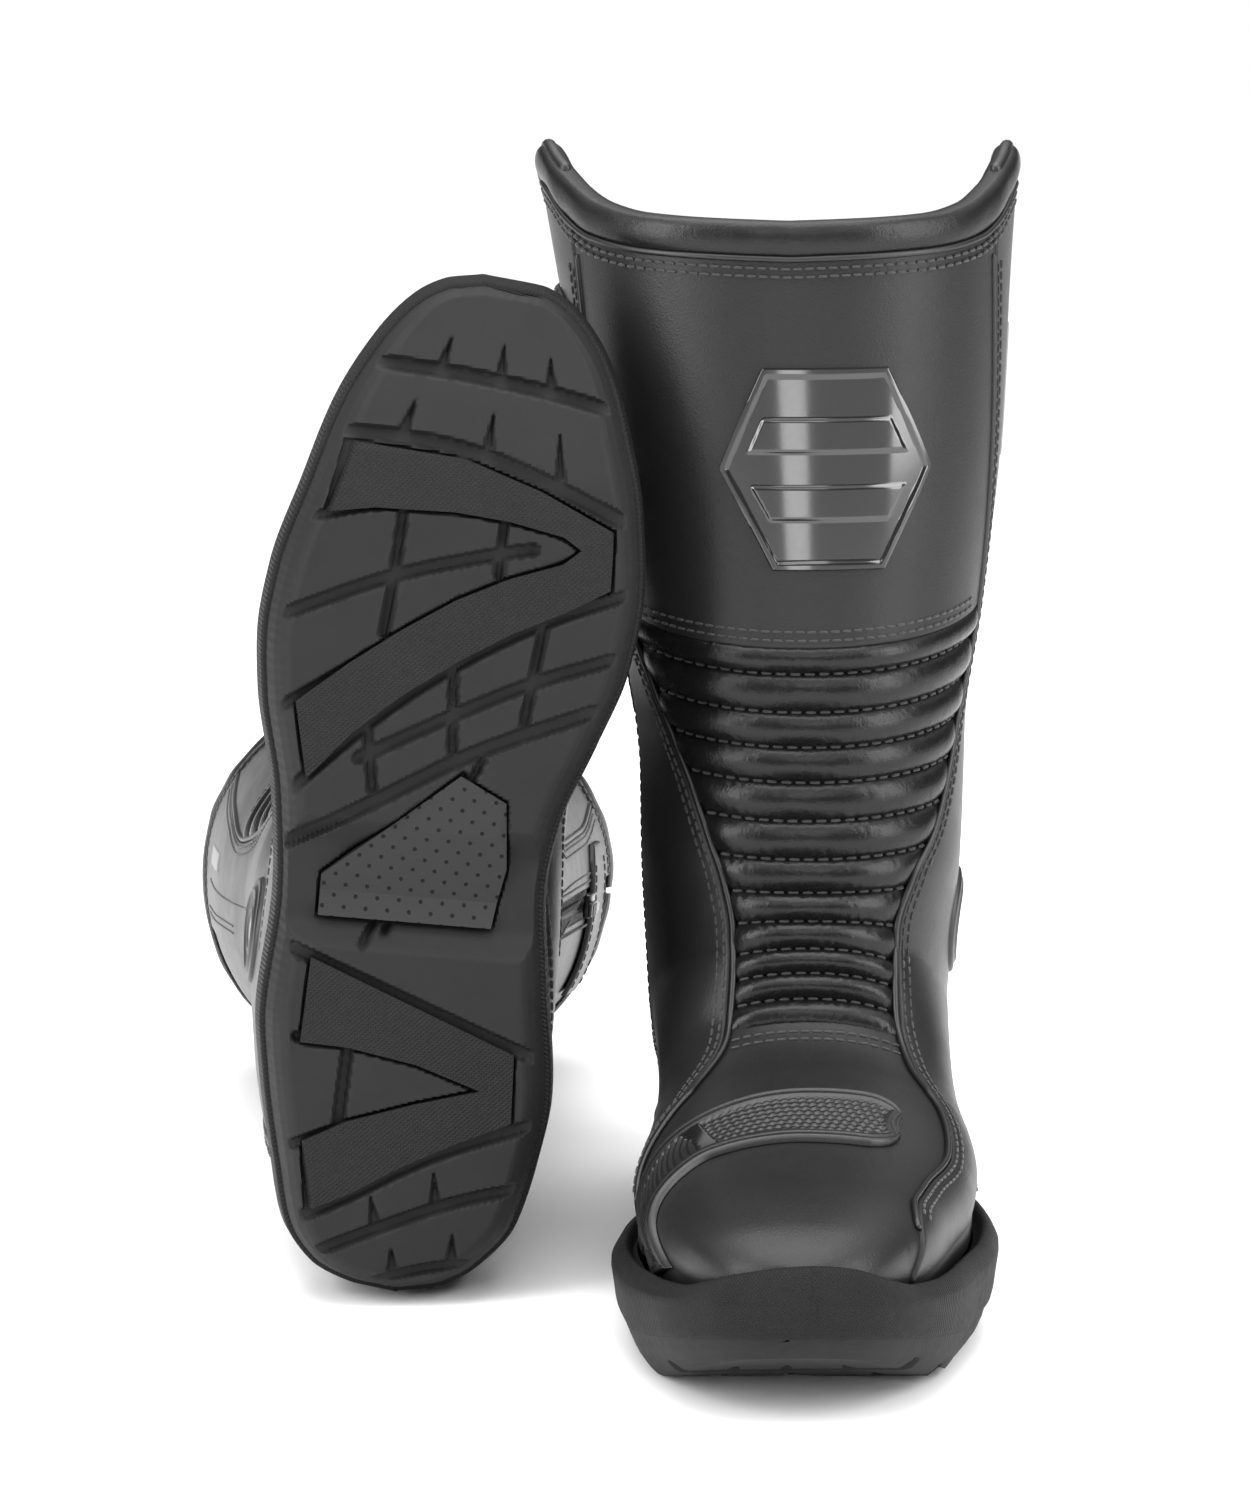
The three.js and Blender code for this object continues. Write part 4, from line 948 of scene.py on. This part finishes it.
def shift_pad():
    """The shift pad: a raised border round small domes on the outer half and ribs on the inner half."""
    middle_u = through([(0, 91), (0.3, 91), (0.52, 85), (0.7, 73), (0.86, 60), (1, 48)])
    middle_v = through([(0, 0.18), (0.3, 0), (0.52, -0.2), (0.7, -0.33), (0.86, -0.47), (1, -0.58)])
    half_width = through([(0, 5), (0.012, 8), (0.03, 10.4), (0.06, 12.4), (0.1, 13.7), (0.14, 14),
                          (0.35, 13.6), (0.7, 11), (0.86, 9.5), (1, 9.5)])
    s, t = np.linspace(0, 1, 280), np.linspace(-1, 1, 84)
    low, high = np.maximum(s - 0.01, 0), np.minimum(s + 0.01, 1)
    along = np.stack([middle_u(high) - middle_u(low), 130 * (middle_v(high) - middle_v(low))], -1)
    along /= np.linalg.norm(along, axis=1, keepdims=True)
    across = half_width(s)[:, None] * t
    u = middle_u(s)[:, None] - across * along[:, 1:2]
    v = middle_v(s)[:, None] + across * along[:, 0:1] / 130
    base = bare_skin(u, v)
    edge = edge_distance(base, "lhab")
    run, _ = arc(base, 0)
    wide, _ = arc(base, 1)
    ridges = 0.35 * np.exp(-(((edge - 1.5) / 0.75) ** 2)) + 0.3 * np.exp(-(((edge - 4.1) / 0.6) ** 2))
    field = np.clip((edge - 5.2) / 0.6, 0, 1)
    mid_wide = wide - wide[:, -1:] / 2
    row = np.floor(mid_wide / 2.2)
    from_dome = np.hypot((run + 1.3 * (row % 2)) % 2.6 - 1.3, mid_wide % 2.2 - 1.1)
    domes = np.clip(1 - from_dome / 1.15, 0, 1) ** 0.6
    ribs = np.clip(np.sin(run / 2.7 * 2 * math.pi) * 1.4, -1, 1) * 0.5 + 0.5
    share = np.clip((s - 0.50) / 0.02, 0, 1)[:, None]
    bar = np.clip(1 - np.abs(s - 0.51) / 0.022, 0, 1)[:, None] > 0
    texture = np.where(bar, 0.7, domes * 0.8 * (1 - share) + ribs * 0.9 * share)
    height = 0.4 + 1.5 * rolled(edge, 1.4) + ridges + 0.7 * field * texture - 0.6 * field
    shape = raised(u, v, base, height, 0.2)
    on_bar = (bar & (field > 0.3))[:-1, :-1].ravel()
    shape.slots[0] = np.where(on_bar, 1, 0)
    return shape


def ankle_guard():
    """A round guard with a raised ring and a small plain disc in its middle."""
    centre_u = float(bisect([130.0], [200.0], lambda u: bare_skin(u, np.array([0.5]))[..., 2] < ANKLE[2])[0])
    centre = bare_skin(np.array(centre_u), np.array(0.5))
    radius, rings, spokes = 17.0, 44, 96
    r = np.linspace(0.02, 1, rings)[:, None] * radius
    angle = np.linspace(0, 2 * math.pi, spokes, endpoint=False)[None, :]
    y, z = centre[1] + r * np.cos(angle), centre[2] + r * np.sin(angle)
    u, v = np.full(y.shape, centre_u), np.full(y.shape, 0.5)
    for _ in range(14):
        here = bare_skin(u, v)
        du, dv = bare_skin(u + 0.5, v) - here, bare_skin(u, v + 0.003) - here
        det = du[..., 1] * dv[..., 2] - du[..., 2] * dv[..., 1]
        ey, ez = y - here[..., 1], z - here[..., 2]
        u = u + 0.5 * np.clip((ey * dv[..., 2] - ez * dv[..., 1]) / det, -6, 6) * 0.8
        v = v + 0.003 * np.clip((du[..., 1] * ez - du[..., 2] * ey) / det, -8, 8) * 0.8
    x = bare_skin(u, v)[..., 0]
    ring = 0.8 * np.exp(-(((r - 12.6) / 1.1) ** 2)) + 0.5 * np.exp(-(((r - 6.4) / 0.8) ** 2))
    grooves = -0.35 * np.exp(-(((r - 9.4) / 0.5) ** 2))
    top = x + 0.9 + 2.2 * rolled(radius - r, 1.6) + ring + grooves
    outer, inner = np.stack([top, y, z], -1), np.stack([x + 0.4, y, z], -1)
    shape = Shape()
    count = rings * spokes
    faces = [grid_faces(rings, spokes, wrap=True), grid_faces(rings, spokes, wrap=True, flip=True) + count]
    i = np.arange(spokes)
    k = (i + 1) % spokes
    rim = (rings - 1) * spokes
    faces += [np.stack([rim + i, rim + k, rim + k + count, rim + i + count], -1)[:, ::-1]]
    faces += [i[None, ::-1], i[None] + count]
    shape.add(np.concatenate([outer.reshape(-1, 3), inner.reshape(-1, 3)]), faces)
    shape.slots[0] = np.where(r[:-1, 0].repeat(spokes) < 3.4, 1, 0)
    return shape


def badge():
    """A plain hexagonal badge with its points to the sides: a raised rim and two level bars."""
    centre_u, centre_v, half_height, half_width = 302, 0.045, 30, 29
    s, t = np.linspace(-1, 1, 120)[:, None], np.linspace(-1, 1, 110)[None, :]
    u = centre_u + half_height * s + 0 * t
    v = centre_v + half_width * (1 - 0.45 * np.abs(s)) / 175 * t
    base = bare_skin(u, v)
    edge = edge_distance(base, "lhab")
    rim = 0.9 * np.clip((edge - 0.1) / 0.4, 0, 1) * np.clip((2.8 - edge) / 0.4, 0, 1)
    from_bar = np.minimum(np.abs(s - 0.33), np.abs(s + 0.33))
    bars = np.clip((0.17 - from_bar) / 0.02, 0, 1) * ease(edge, 7, 0.5)
    height = 1.1 + 0.5 * rolled(edge, 0.6) + 0.5 * rim + 0.6 * bars
    return raised(u, v, base, height, 0.75)


def lining(start, end, left, right):
    u, v = region(start, end, left, right, LINING_STEP)
    return Shape().add(*closed_sheet(skin(u, v, LINING_OUTSIDE), skin(u, v, LINING_INSIDE)))


# ---------------------------------------------------------------- zip and flap
def zip_axes():
    low, high = bare_skin(np.array(ZIP_LOW), np.array(ZIP_V)), bare_skin(np.array(ZIP_TOP), np.array(ZIP_V))
    along = (high - low) / np.linalg.norm(high - low)
    out = skin_normal(np.array((ZIP_LOW + ZIP_TOP) / 2), np.array(ZIP_V))
    across = np.cross(along, out)
    across /= np.linalg.norm(across)
    return low, high, along, across, np.cross(across, along)


def solid_block(size, place, bevel=0.25):
    """A block in the zip's frame with its edges broken: across, along and out from the zip's top."""
    _, high, along, across, out = zip_axes()
    mesh = bpy.data.meshes.new("block")
    made = bmesh.new()
    bmesh.ops.create_cube(made, size=1)
    bmesh.ops.scale(made, vec=size, verts=made.verts)
    bmesh.ops.bevel(
        made, geom=list(made.edges), offset=bevel * min(size), segments=3, affect="EDGES", profile=0.5)
    made.to_mesh(mesh)
    made.free()
    local = np.array([tuple(v.co) for v in mesh.vertices]) + np.array(place)
    faces = [np.array([tuple(p.vertices)]) for p in mesh.polygons]
    bpy.data.meshes.remove(mesh)
    points = high + local[:, :1] * across + local[:, 1:2] * along + local[:, 2:3] * out
    return points, faces


def zip_parts():
    low, high, *_ = zip_axes()
    tape = panel(fixed(ZIP_LOW - 6), shifted(collar_top, -5), fixed(ZIP_V - ZIP_HALF_WIDTH - 0.012),
                 fixed(ZIP_V + ZIP_HALF_WIDTH + 0.012), 0.1, fold="")
    teeth = Shape()
    length = np.linalg.norm(high - low)
    for k in range(int(length / 1.9)):
        hand = 1 if k % 2 else -1
        teeth.add(*solid_block((3.4, 1.2, 1.5), (hand * 0.8, -k * 1.9 - 1, 0.75), 0.3))
    slider = Shape().add(*solid_block((8.2, 12.6, 2.6), (0, -8, 2.7), 0.28))
    slider.add(*solid_block((3.0, 5.5, 1.0), (0, -6.2, 4.2), 0.3))
    pull = Shape().add(*solid_block((5.0, 20, 1.5), (0, -21, 5.5), 0.4))
    pull.add(*solid_block((3.2, 8, 1.2), (0, -9, 5.5), 0.35))
    for k in range(5):
        pull.add(*solid_block((4.0, 0.9, 0.5), (0, -19 - k * 2.2, 6.35), 0.3))
    return tape, teeth, slider, pull


def closure_flap():
    u0, u1, v0, v1 = 317, 351, -0.67, -0.4
    s, t = spaced(34, 1.2), spaced(52, 1.2)
    corner = np.clip((t - 0.78) / 0.22, 0, 1) ** 2
    narrow = 1 - 0.42 * corner
    u = (u0 + u1) / 2 + (u1 - u0) / 2 * (2 * s[:, None] - 1) * narrow
    v = v0 + (v1 - v0) * t + 0 * u
    base = bare_skin(u, v)
    shape = raised(u, v, base, 1.5 + 1.7 * rolled(edge_distance(base, "lhab"), 1.2), 1.5)
    thread = Shape()
    for hand in (-1, 1):
        tt = np.linspace(0.06, 0.9, 60)
        uu = (u0 + u1) / 2 + hand * (17 * (1 - 0.42 * np.clip((tt - 0.78) / 0.22, 0, 1) ** 2) - 2.6)
        stitches(thread, skin(uu, v0 + (v1 - v0) * tt, 3.25))
    return shape, thread


# ---------------------------------------------------------------- thread, piping and small trim
def double_row(shape, u, v, gaps, height, **sizes):
    for gap in gaps:
        stitches(shape, seam_path(u, v, gap, height), **sizes)


def threads():
    """All stitching of one boot, by what it moves with."""
    foot, shaft, bending = Shape(), Shape(), Shape()
    u = np.linspace(30, 360, 700)
    for curve, hand in ((lateral_seam, 1), (medial_seam, -1)):
        part = u[u > (42 if hand > 0 else 92)]
        double_row(bending, part, curve(part), (hand * 2.2, hand * 4.6), 1.35)
    v = np.linspace(-0.36, 0.36, 260)
    inside = (v > medial_seam(flex_top(v)) + 0.012) & (v < lateral_seam(flex_top(v)) - 0.012)
    for up in (1.6, 4.2):
        stitches(shaft, skin(flex_top(v[inside]) + up, v[inside], 0.9))
    for down in (2.4, 4.8):
        vv = np.linspace(ZIP_V + 0.03, 2 + ZIP_V - 0.05, 900)
        stitches(shaft, skin(collar_seam(vv) - down, vv, 1.35))
    v = np.linspace(-0.165, 0.205, 120)
    for down in (2.6, 5.2):
        stitches(foot, skin(np.full(v.shape, FLEX_LOW - down), v, 0.12))
    for k in range(1, len(RIB_SEAMS)):
        vv = np.linspace(-0.4, 0.42, 300)
        uu = rib_seam(k, vv)
        keep = (vv > medial_seam(uu) + 0.008) & (vv < lateral_seam(uu) - 0.008)
        stitches(bending, skin(uu[keep], vv[keep], -0.72), pitch=4.3, length=3.0, radius=0.6)
    for hand in (-1, 1):
        edge_v = 1 + hand * (1 - HEEL_SEAM)
        uu = np.linspace(163, 172, 60)
        double_row(foot, uu, np.full(uu.shape, edge_v), (-hand * 2.0, -hand * 4.4), 2.05)
    vv = np.linspace(HEEL_SEAM + 0.02, 2 - HEEL_SEAM - 0.02, 200)
    for down in (1.6, 4.0):
        stitches(foot, skin(along_to_height(vv, band_low_height(folded(vv)) - down), vv, 2.05))
    uu = np.linspace(222, 350, 200)
    for aside in (ZIP_HALF_WIDTH + 0.016, -ZIP_HALF_WIDTH - 0.016):
        stitches(shaft, skin(uu, np.full(uu.shape, ZIP_V + aside), 1.35))
    uu = np.linspace(250, 352, 200)
    double_row(shaft, uu, np.full(uu.shape, CALF_SEAM - 0.01), (-1.4, -3.8), 1.35)
    return foot, shaft, bending


def pipings():
    """The dark cords laid in the seams: beside the ribbed panel and under the collar."""
    bending, shaft = Shape(), Shape()
    u = np.linspace(36, 362, 420)
    bending.add(*tube(seam_path(u, lateral_seam(u), -0.6, 0.75), 1.0))
    u = np.linspace(86, 362, 360)
    bending.add(*tube(seam_path(u, medial_seam(u), 0.6, 0.75), 0.9))
    v = np.linspace(ZIP_V + 0.01, 2 + ZIP_V - 0.01, 500)
    shaft.add(*tube(skin(collar_seam(v) + 0.4, v, 1.0), 1.0))
    for hand in (-1, 1):
        around = np.linspace(0.37, 0.5 if hand > 0 else 0.485, 40) * hand
        shaft.add(*tube(skin(collar_top(around) - 0.6, around, -2.4), 2.0, sides=12))
    return bending, shaft


# Long raised lines on the sides, as (first u, its v, last u, its v, bow)
SIDE_LINES = [(92, -0.52, 350, -0.45, 0.03), (100, -0.62, 300, -0.47, -0.02), (96, 0.47, 348, 0.52, 0.03)]


def side_lines():
    shape = Shape()
    for u0, v0, u1, v1, bow in SIDE_LINES:
        share = np.linspace(0.03, 0.97, 260)
        u = u0 + (u1 - u0) * share
        v = v0 + (v1 - v0) * share + bow * np.sin(math.pi * share)
        z = bare_skin(u, v)[:, 2]
        keep = z > 40
        stitches(shape, skin(u[keep], v[keep], 1.35))
    return shape


def reflective_strip():
    """A plain reflective strip on the outer side of the shaft, under the collar."""
    u, v = np.meshgrid(spaced(40, 1.6) * 40 + 300, 0.46 + spaced(6, 0.8) * 6 / 175, indexing="ij")
    base = bare_skin(u, v)
    return raised(u, v, base, 1.35 + 0.35 * rolled(edge_distance(base, "lhab"), 0.5), 1.3)


def footbed():
    """The brushed footbed, crowned a little along its edge and cupped at the heel."""
    lateral, medial = inset(lateral_edge, 15), inset(medial_edge, 15)
    y = np.linspace(16.2, SOLE_LENGTH - 16.2, 120)[:, None]
    t = np.linspace(0, 1, 44)
    x = -medial(y) + (lateral(y) + medial(y)) * t
    y = np.broadcast_to(y, x.shape)
    cup = 1.6 * np.abs(2 * t - 1) ** 4
    top = np.stack([x, y, last_bottom(y) + 6.2 + cup], -1)
    return Shape().add(*closed_sheet(top, np.stack([x, y, last_bottom(y) + 3.6], -1)))


# ---------------------------------------------------------------- a boot
def build_boot_shapes():
    shapes = []

    def piece(name, shape, materials, body, slot, replaces=(), **more):
        shapes.append((name, shape, materials, body, slot, replaces, more))

    wall, pattern = sole_wall()
    piece("sole_rim", wall, [RIM], "foot", "outsole_rubber", pattern=pattern)
    piece("sole_tread", sole_tread(), [SOLE], "foot", "outsole_rubber", ["outsole"])
    piece("footbed", footbed(), [FOOTBED], "foot", "footbed_fabric", ["footbed"])
    for name, shape, material, body, nodes, bends in upper_panels():
        piece(name, shape, [material], body, "upper_leather", nodes, bends=bends)
    piece("flex_panel", ribbed_panel(), [SOFT], "foot", "soft_leather", ["flex_panel"], bends=True, pad=0.8)
    piece("collar_pad", collar_roll(), [COLLAR], "shaft", "collar_leather", ["collar_pad"], pad=0.8)
    piece("shift_pad", shift_pad(), [MOULDED, GLOSS], "foot", "moulded_trim", ["shift_pad"])
    piece("ankle_guard", ankle_guard(), [MOULDED, SILVER], "foot", "moulded_trim", ["ankle_guard"])
    piece("shin_badge", badge(), [GLOSS], "shaft", "gloss_badge", ["shin_badge"])
    shaft_lining = lining(fixed(207), shifted(collar_seam, 1), fixed(ZIP_V + 0.004), fixed(2 + ZIP_V - 0.004))
    piece("shaft_lining", shaft_lining, [MESH_LINING], "shaft", "lining_fabric", ["shaft_lining"])
    heel_low = lambda v: along_to_height(v, skin_low_edge(SOLE_LENGTH) + 4)
    low_lining = lining(heel_low, fixed(209), fixed(0.16), fixed(1.84))
    piece("ankle_lining", low_lining, [MESH_LINING], "foot", "lining_fabric", ["heel_counter"], bends=True)
    foot_line = lambda side: (lambda u: round_to_height(u, side, skin_low_edge(u) + 3))
    foot_lining = lining(fixed(20), fixed(137), foot_line(-1), foot_line(1))
    piece("foot_lining", foot_lining, [MESH_LINING], "foot", "lining_fabric", ["foot_lining"])
    tape, teeth, slider, pull = zip_parts()
    piece("zip_tape", tape, [TAPE], "shaft", "zip_tape", ["zip_chain"])
    piece("zip_teeth", teeth, [MOULDED], "shaft", "zip_tape")
    piece("zip_slider", slider, [ZIP_METAL], "slider", "zip_metal", ["zip_slider"])
    piece("zip_pull", pull, [ZIP_METAL], "pull", "zip_metal", ["zip_pull"])
    flap, flap_thread = closure_flap()
    piece("closure_flap", flap, [UPPER], "flap", "upper_leather", ["closure_flap"])
    piece("flap_stitches", flap_thread, [THREAD], "flap", "thread")
    foot, shaft, bending = threads()
    piece("foot_stitches", foot, [THREAD], "foot", "thread")
    piece("shaft_stitches", shaft, [THREAD], "shaft", "thread")
    piece("side_stitches", bending, [THREAD], "shaft", "thread", bends=True)
    piece("line_stitches", side_lines(), [THREAD], "shaft", "thread", bends=True)
    bending, shaft = pipings()
    piece("side_piping", bending, [PIPING], "shaft", "piping", bends=True)
    piece("collar_piping", shaft, [PIPING], "shaft", "piping")
    piece("reflective_strip", reflective_strip(), [SILVER], "shaft", "silver_print")
    return shapes


def finish_inner_nodes(side):
    """The pieces that no view shows keep their CAD shape and get their own finish."""
    looks = {"shank": SHANK_STEEL, "insole_board": BOARD, "toe_puff": BOARD, "shin_guard": GUARD,
             "forefoot_insert": INSERT, "heel_insert": INSERT, "arch_plate": ARCH}
    for node, material in looks.items():
        piece = frame["nodes"][f"{side}_{node}"]
        piece.data.materials.clear()
        piece.data.materials.append(material)
        co = np.array([tuple(v.co) for v in piece.data.vertices]) / MM
        turn, shift = PLACES[side]
        local = piece.data.attributes.new("local", "FLOAT_VECTOR", "POINT")
        local.data.foreach_set("vector", ((co - shift) @ np.linalg.inv(turn).T).astype(np.float32).ravel())


SHAPES = build_boot_shapes()
for side in ("left", "right"):
    for name, shape, materials, body, slot, replaces, more in SHAPES:
        make_piece(side, name, shape, materials, body, slot, replaces, **more)
    finish_inner_nodes(side)


# ---------------------------------------------------------------- floor, light and camera
CAMERA_HEIGHT, CAMERA_BACK, CAMERA_PITCH, FOCAL_PIXELS = 426, 1286.7, 10.35, 4930
STANDING_ASIDE = 51.4
IMAGE_HEIGHT, SENSOR = 1500, 36
FLOOR_SIZE, FLOOR_DROP, FLOOR_WHITE = 60, 0.0002, 0.95
SKY_STRENGTH = 1.72
SKY = [(0.0, 0.62), (0.04, 0.62), (0.1, 0.06), (0.45, 0.12), (0.72, 0.85), (1.0, 1.0)]


def floor():
    bpy.ops.mesh.primitive_plane_add(size=FLOOR_SIZE, location=(0, 0, -FLOOR_DROP))
    plane = bpy.context.object
    plane.name = "floor"
    material = bpy.data.materials.new("floor")
    material.use_nodes = True
    shader = material.node_tree.nodes["Principled BSDF"]
    shader.inputs["Base Color"].default_value = (FLOOR_WHITE, FLOOR_WHITE, FLOOR_WHITE, 1)
    shader.inputs["Roughness"].default_value = 0.8
    shader.inputs["Specular IOR Level"].default_value = 0.1
    plane.data.materials.append(material)


def area_light(name, place, target, size, power, tall=None):
    data = bpy.data.lights.new(name, "AREA")
    data.shape = "RECTANGLE"
    data.size, data.size_y, data.energy = size, tall or size, power
    light = bpy.data.objects.new(name, data)
    bpy.context.scene.collection.objects.link(light)
    light.location = place
    light.rotation_euler = Vector(np.array(place) - np.array(target)).to_track_quat("Z", "Y").to_euler()


def sky(tree):
    """A bright ceiling and darker walls, with a pale band at the horizon."""
    place = tree.nodes.new("ShaderNodeTexCoord")
    parts = tree.nodes.new("ShaderNodeSeparateXYZ")
    ramp = tree.nodes.new("ShaderNodeValToRGB")
    tree.links.new(place.outputs["Generated"], parts.inputs[0])
    tree.links.new(parts.outputs["Z"], ramp.inputs[0])
    for height, _ in SKY[1:-1]:
        ramp.color_ramp.elements.new(height)
    for element, (height, value) in zip(ramp.color_ramp.elements, SKY):
        element.position, element.color = height, (value, value, value, 1)
    background = tree.nodes["Background"]
    tree.links.new(ramp.outputs["Color"], background.inputs["Color"])
    background.inputs["Strength"].default_value = SKY_STRENGTH


def camera():
    toe = in_row("left", [(0, 0, 0)])[0]
    data = bpy.data.cameras.new("camera")
    data.sensor_width, data.sensor_fit = SENSOR, "AUTO"
    data.lens = SENSOR * FOCAL_PIXELS / IMAGE_HEIGHT
    data.clip_end = 200
    cam = bpy.data.objects.new("camera", data)
    bpy.context.scene.collection.objects.link(cam)
    cam.location = (toe[0] - STANDING_ASIDE * MM, toe[1] - CAMERA_BACK * MM, CAMERA_HEIGHT * MM)
    cam.rotation_euler = (math.radians(90 - CAMERA_PITCH), 0, 0)
    bpy.context.scene.camera = cam


floor()
area_light("left_softbox", (-1.25, -0.95, 0.8), (0.05, -0.1, 0.18), 0.7, 28, 1.5)
area_light("right_softbox", (1.35, -0.85, 0.8), (0.05, -0.1, 0.18), 0.7, 25, 1.5)
area_light("top_softbox", (0, -0.1, 1.9), (0, 0, 0), 1.6, 34)
area_light("front_softbox", (0.2, -2.0, 1.5), (0, 0, 0.15), 0.8, 7)
area_light("badge_softbox", (0.1, -1.9, 0.16), (0.07, 0, 0.28), 0.3, 1.6, 0.3)
world = bpy.data.worlds.new("studio")
world.use_nodes = True
sky(world.node_tree)
bpy.context.scene.world = world
bpy.context.scene.view_settings.view_transform = "Standard"
camera()
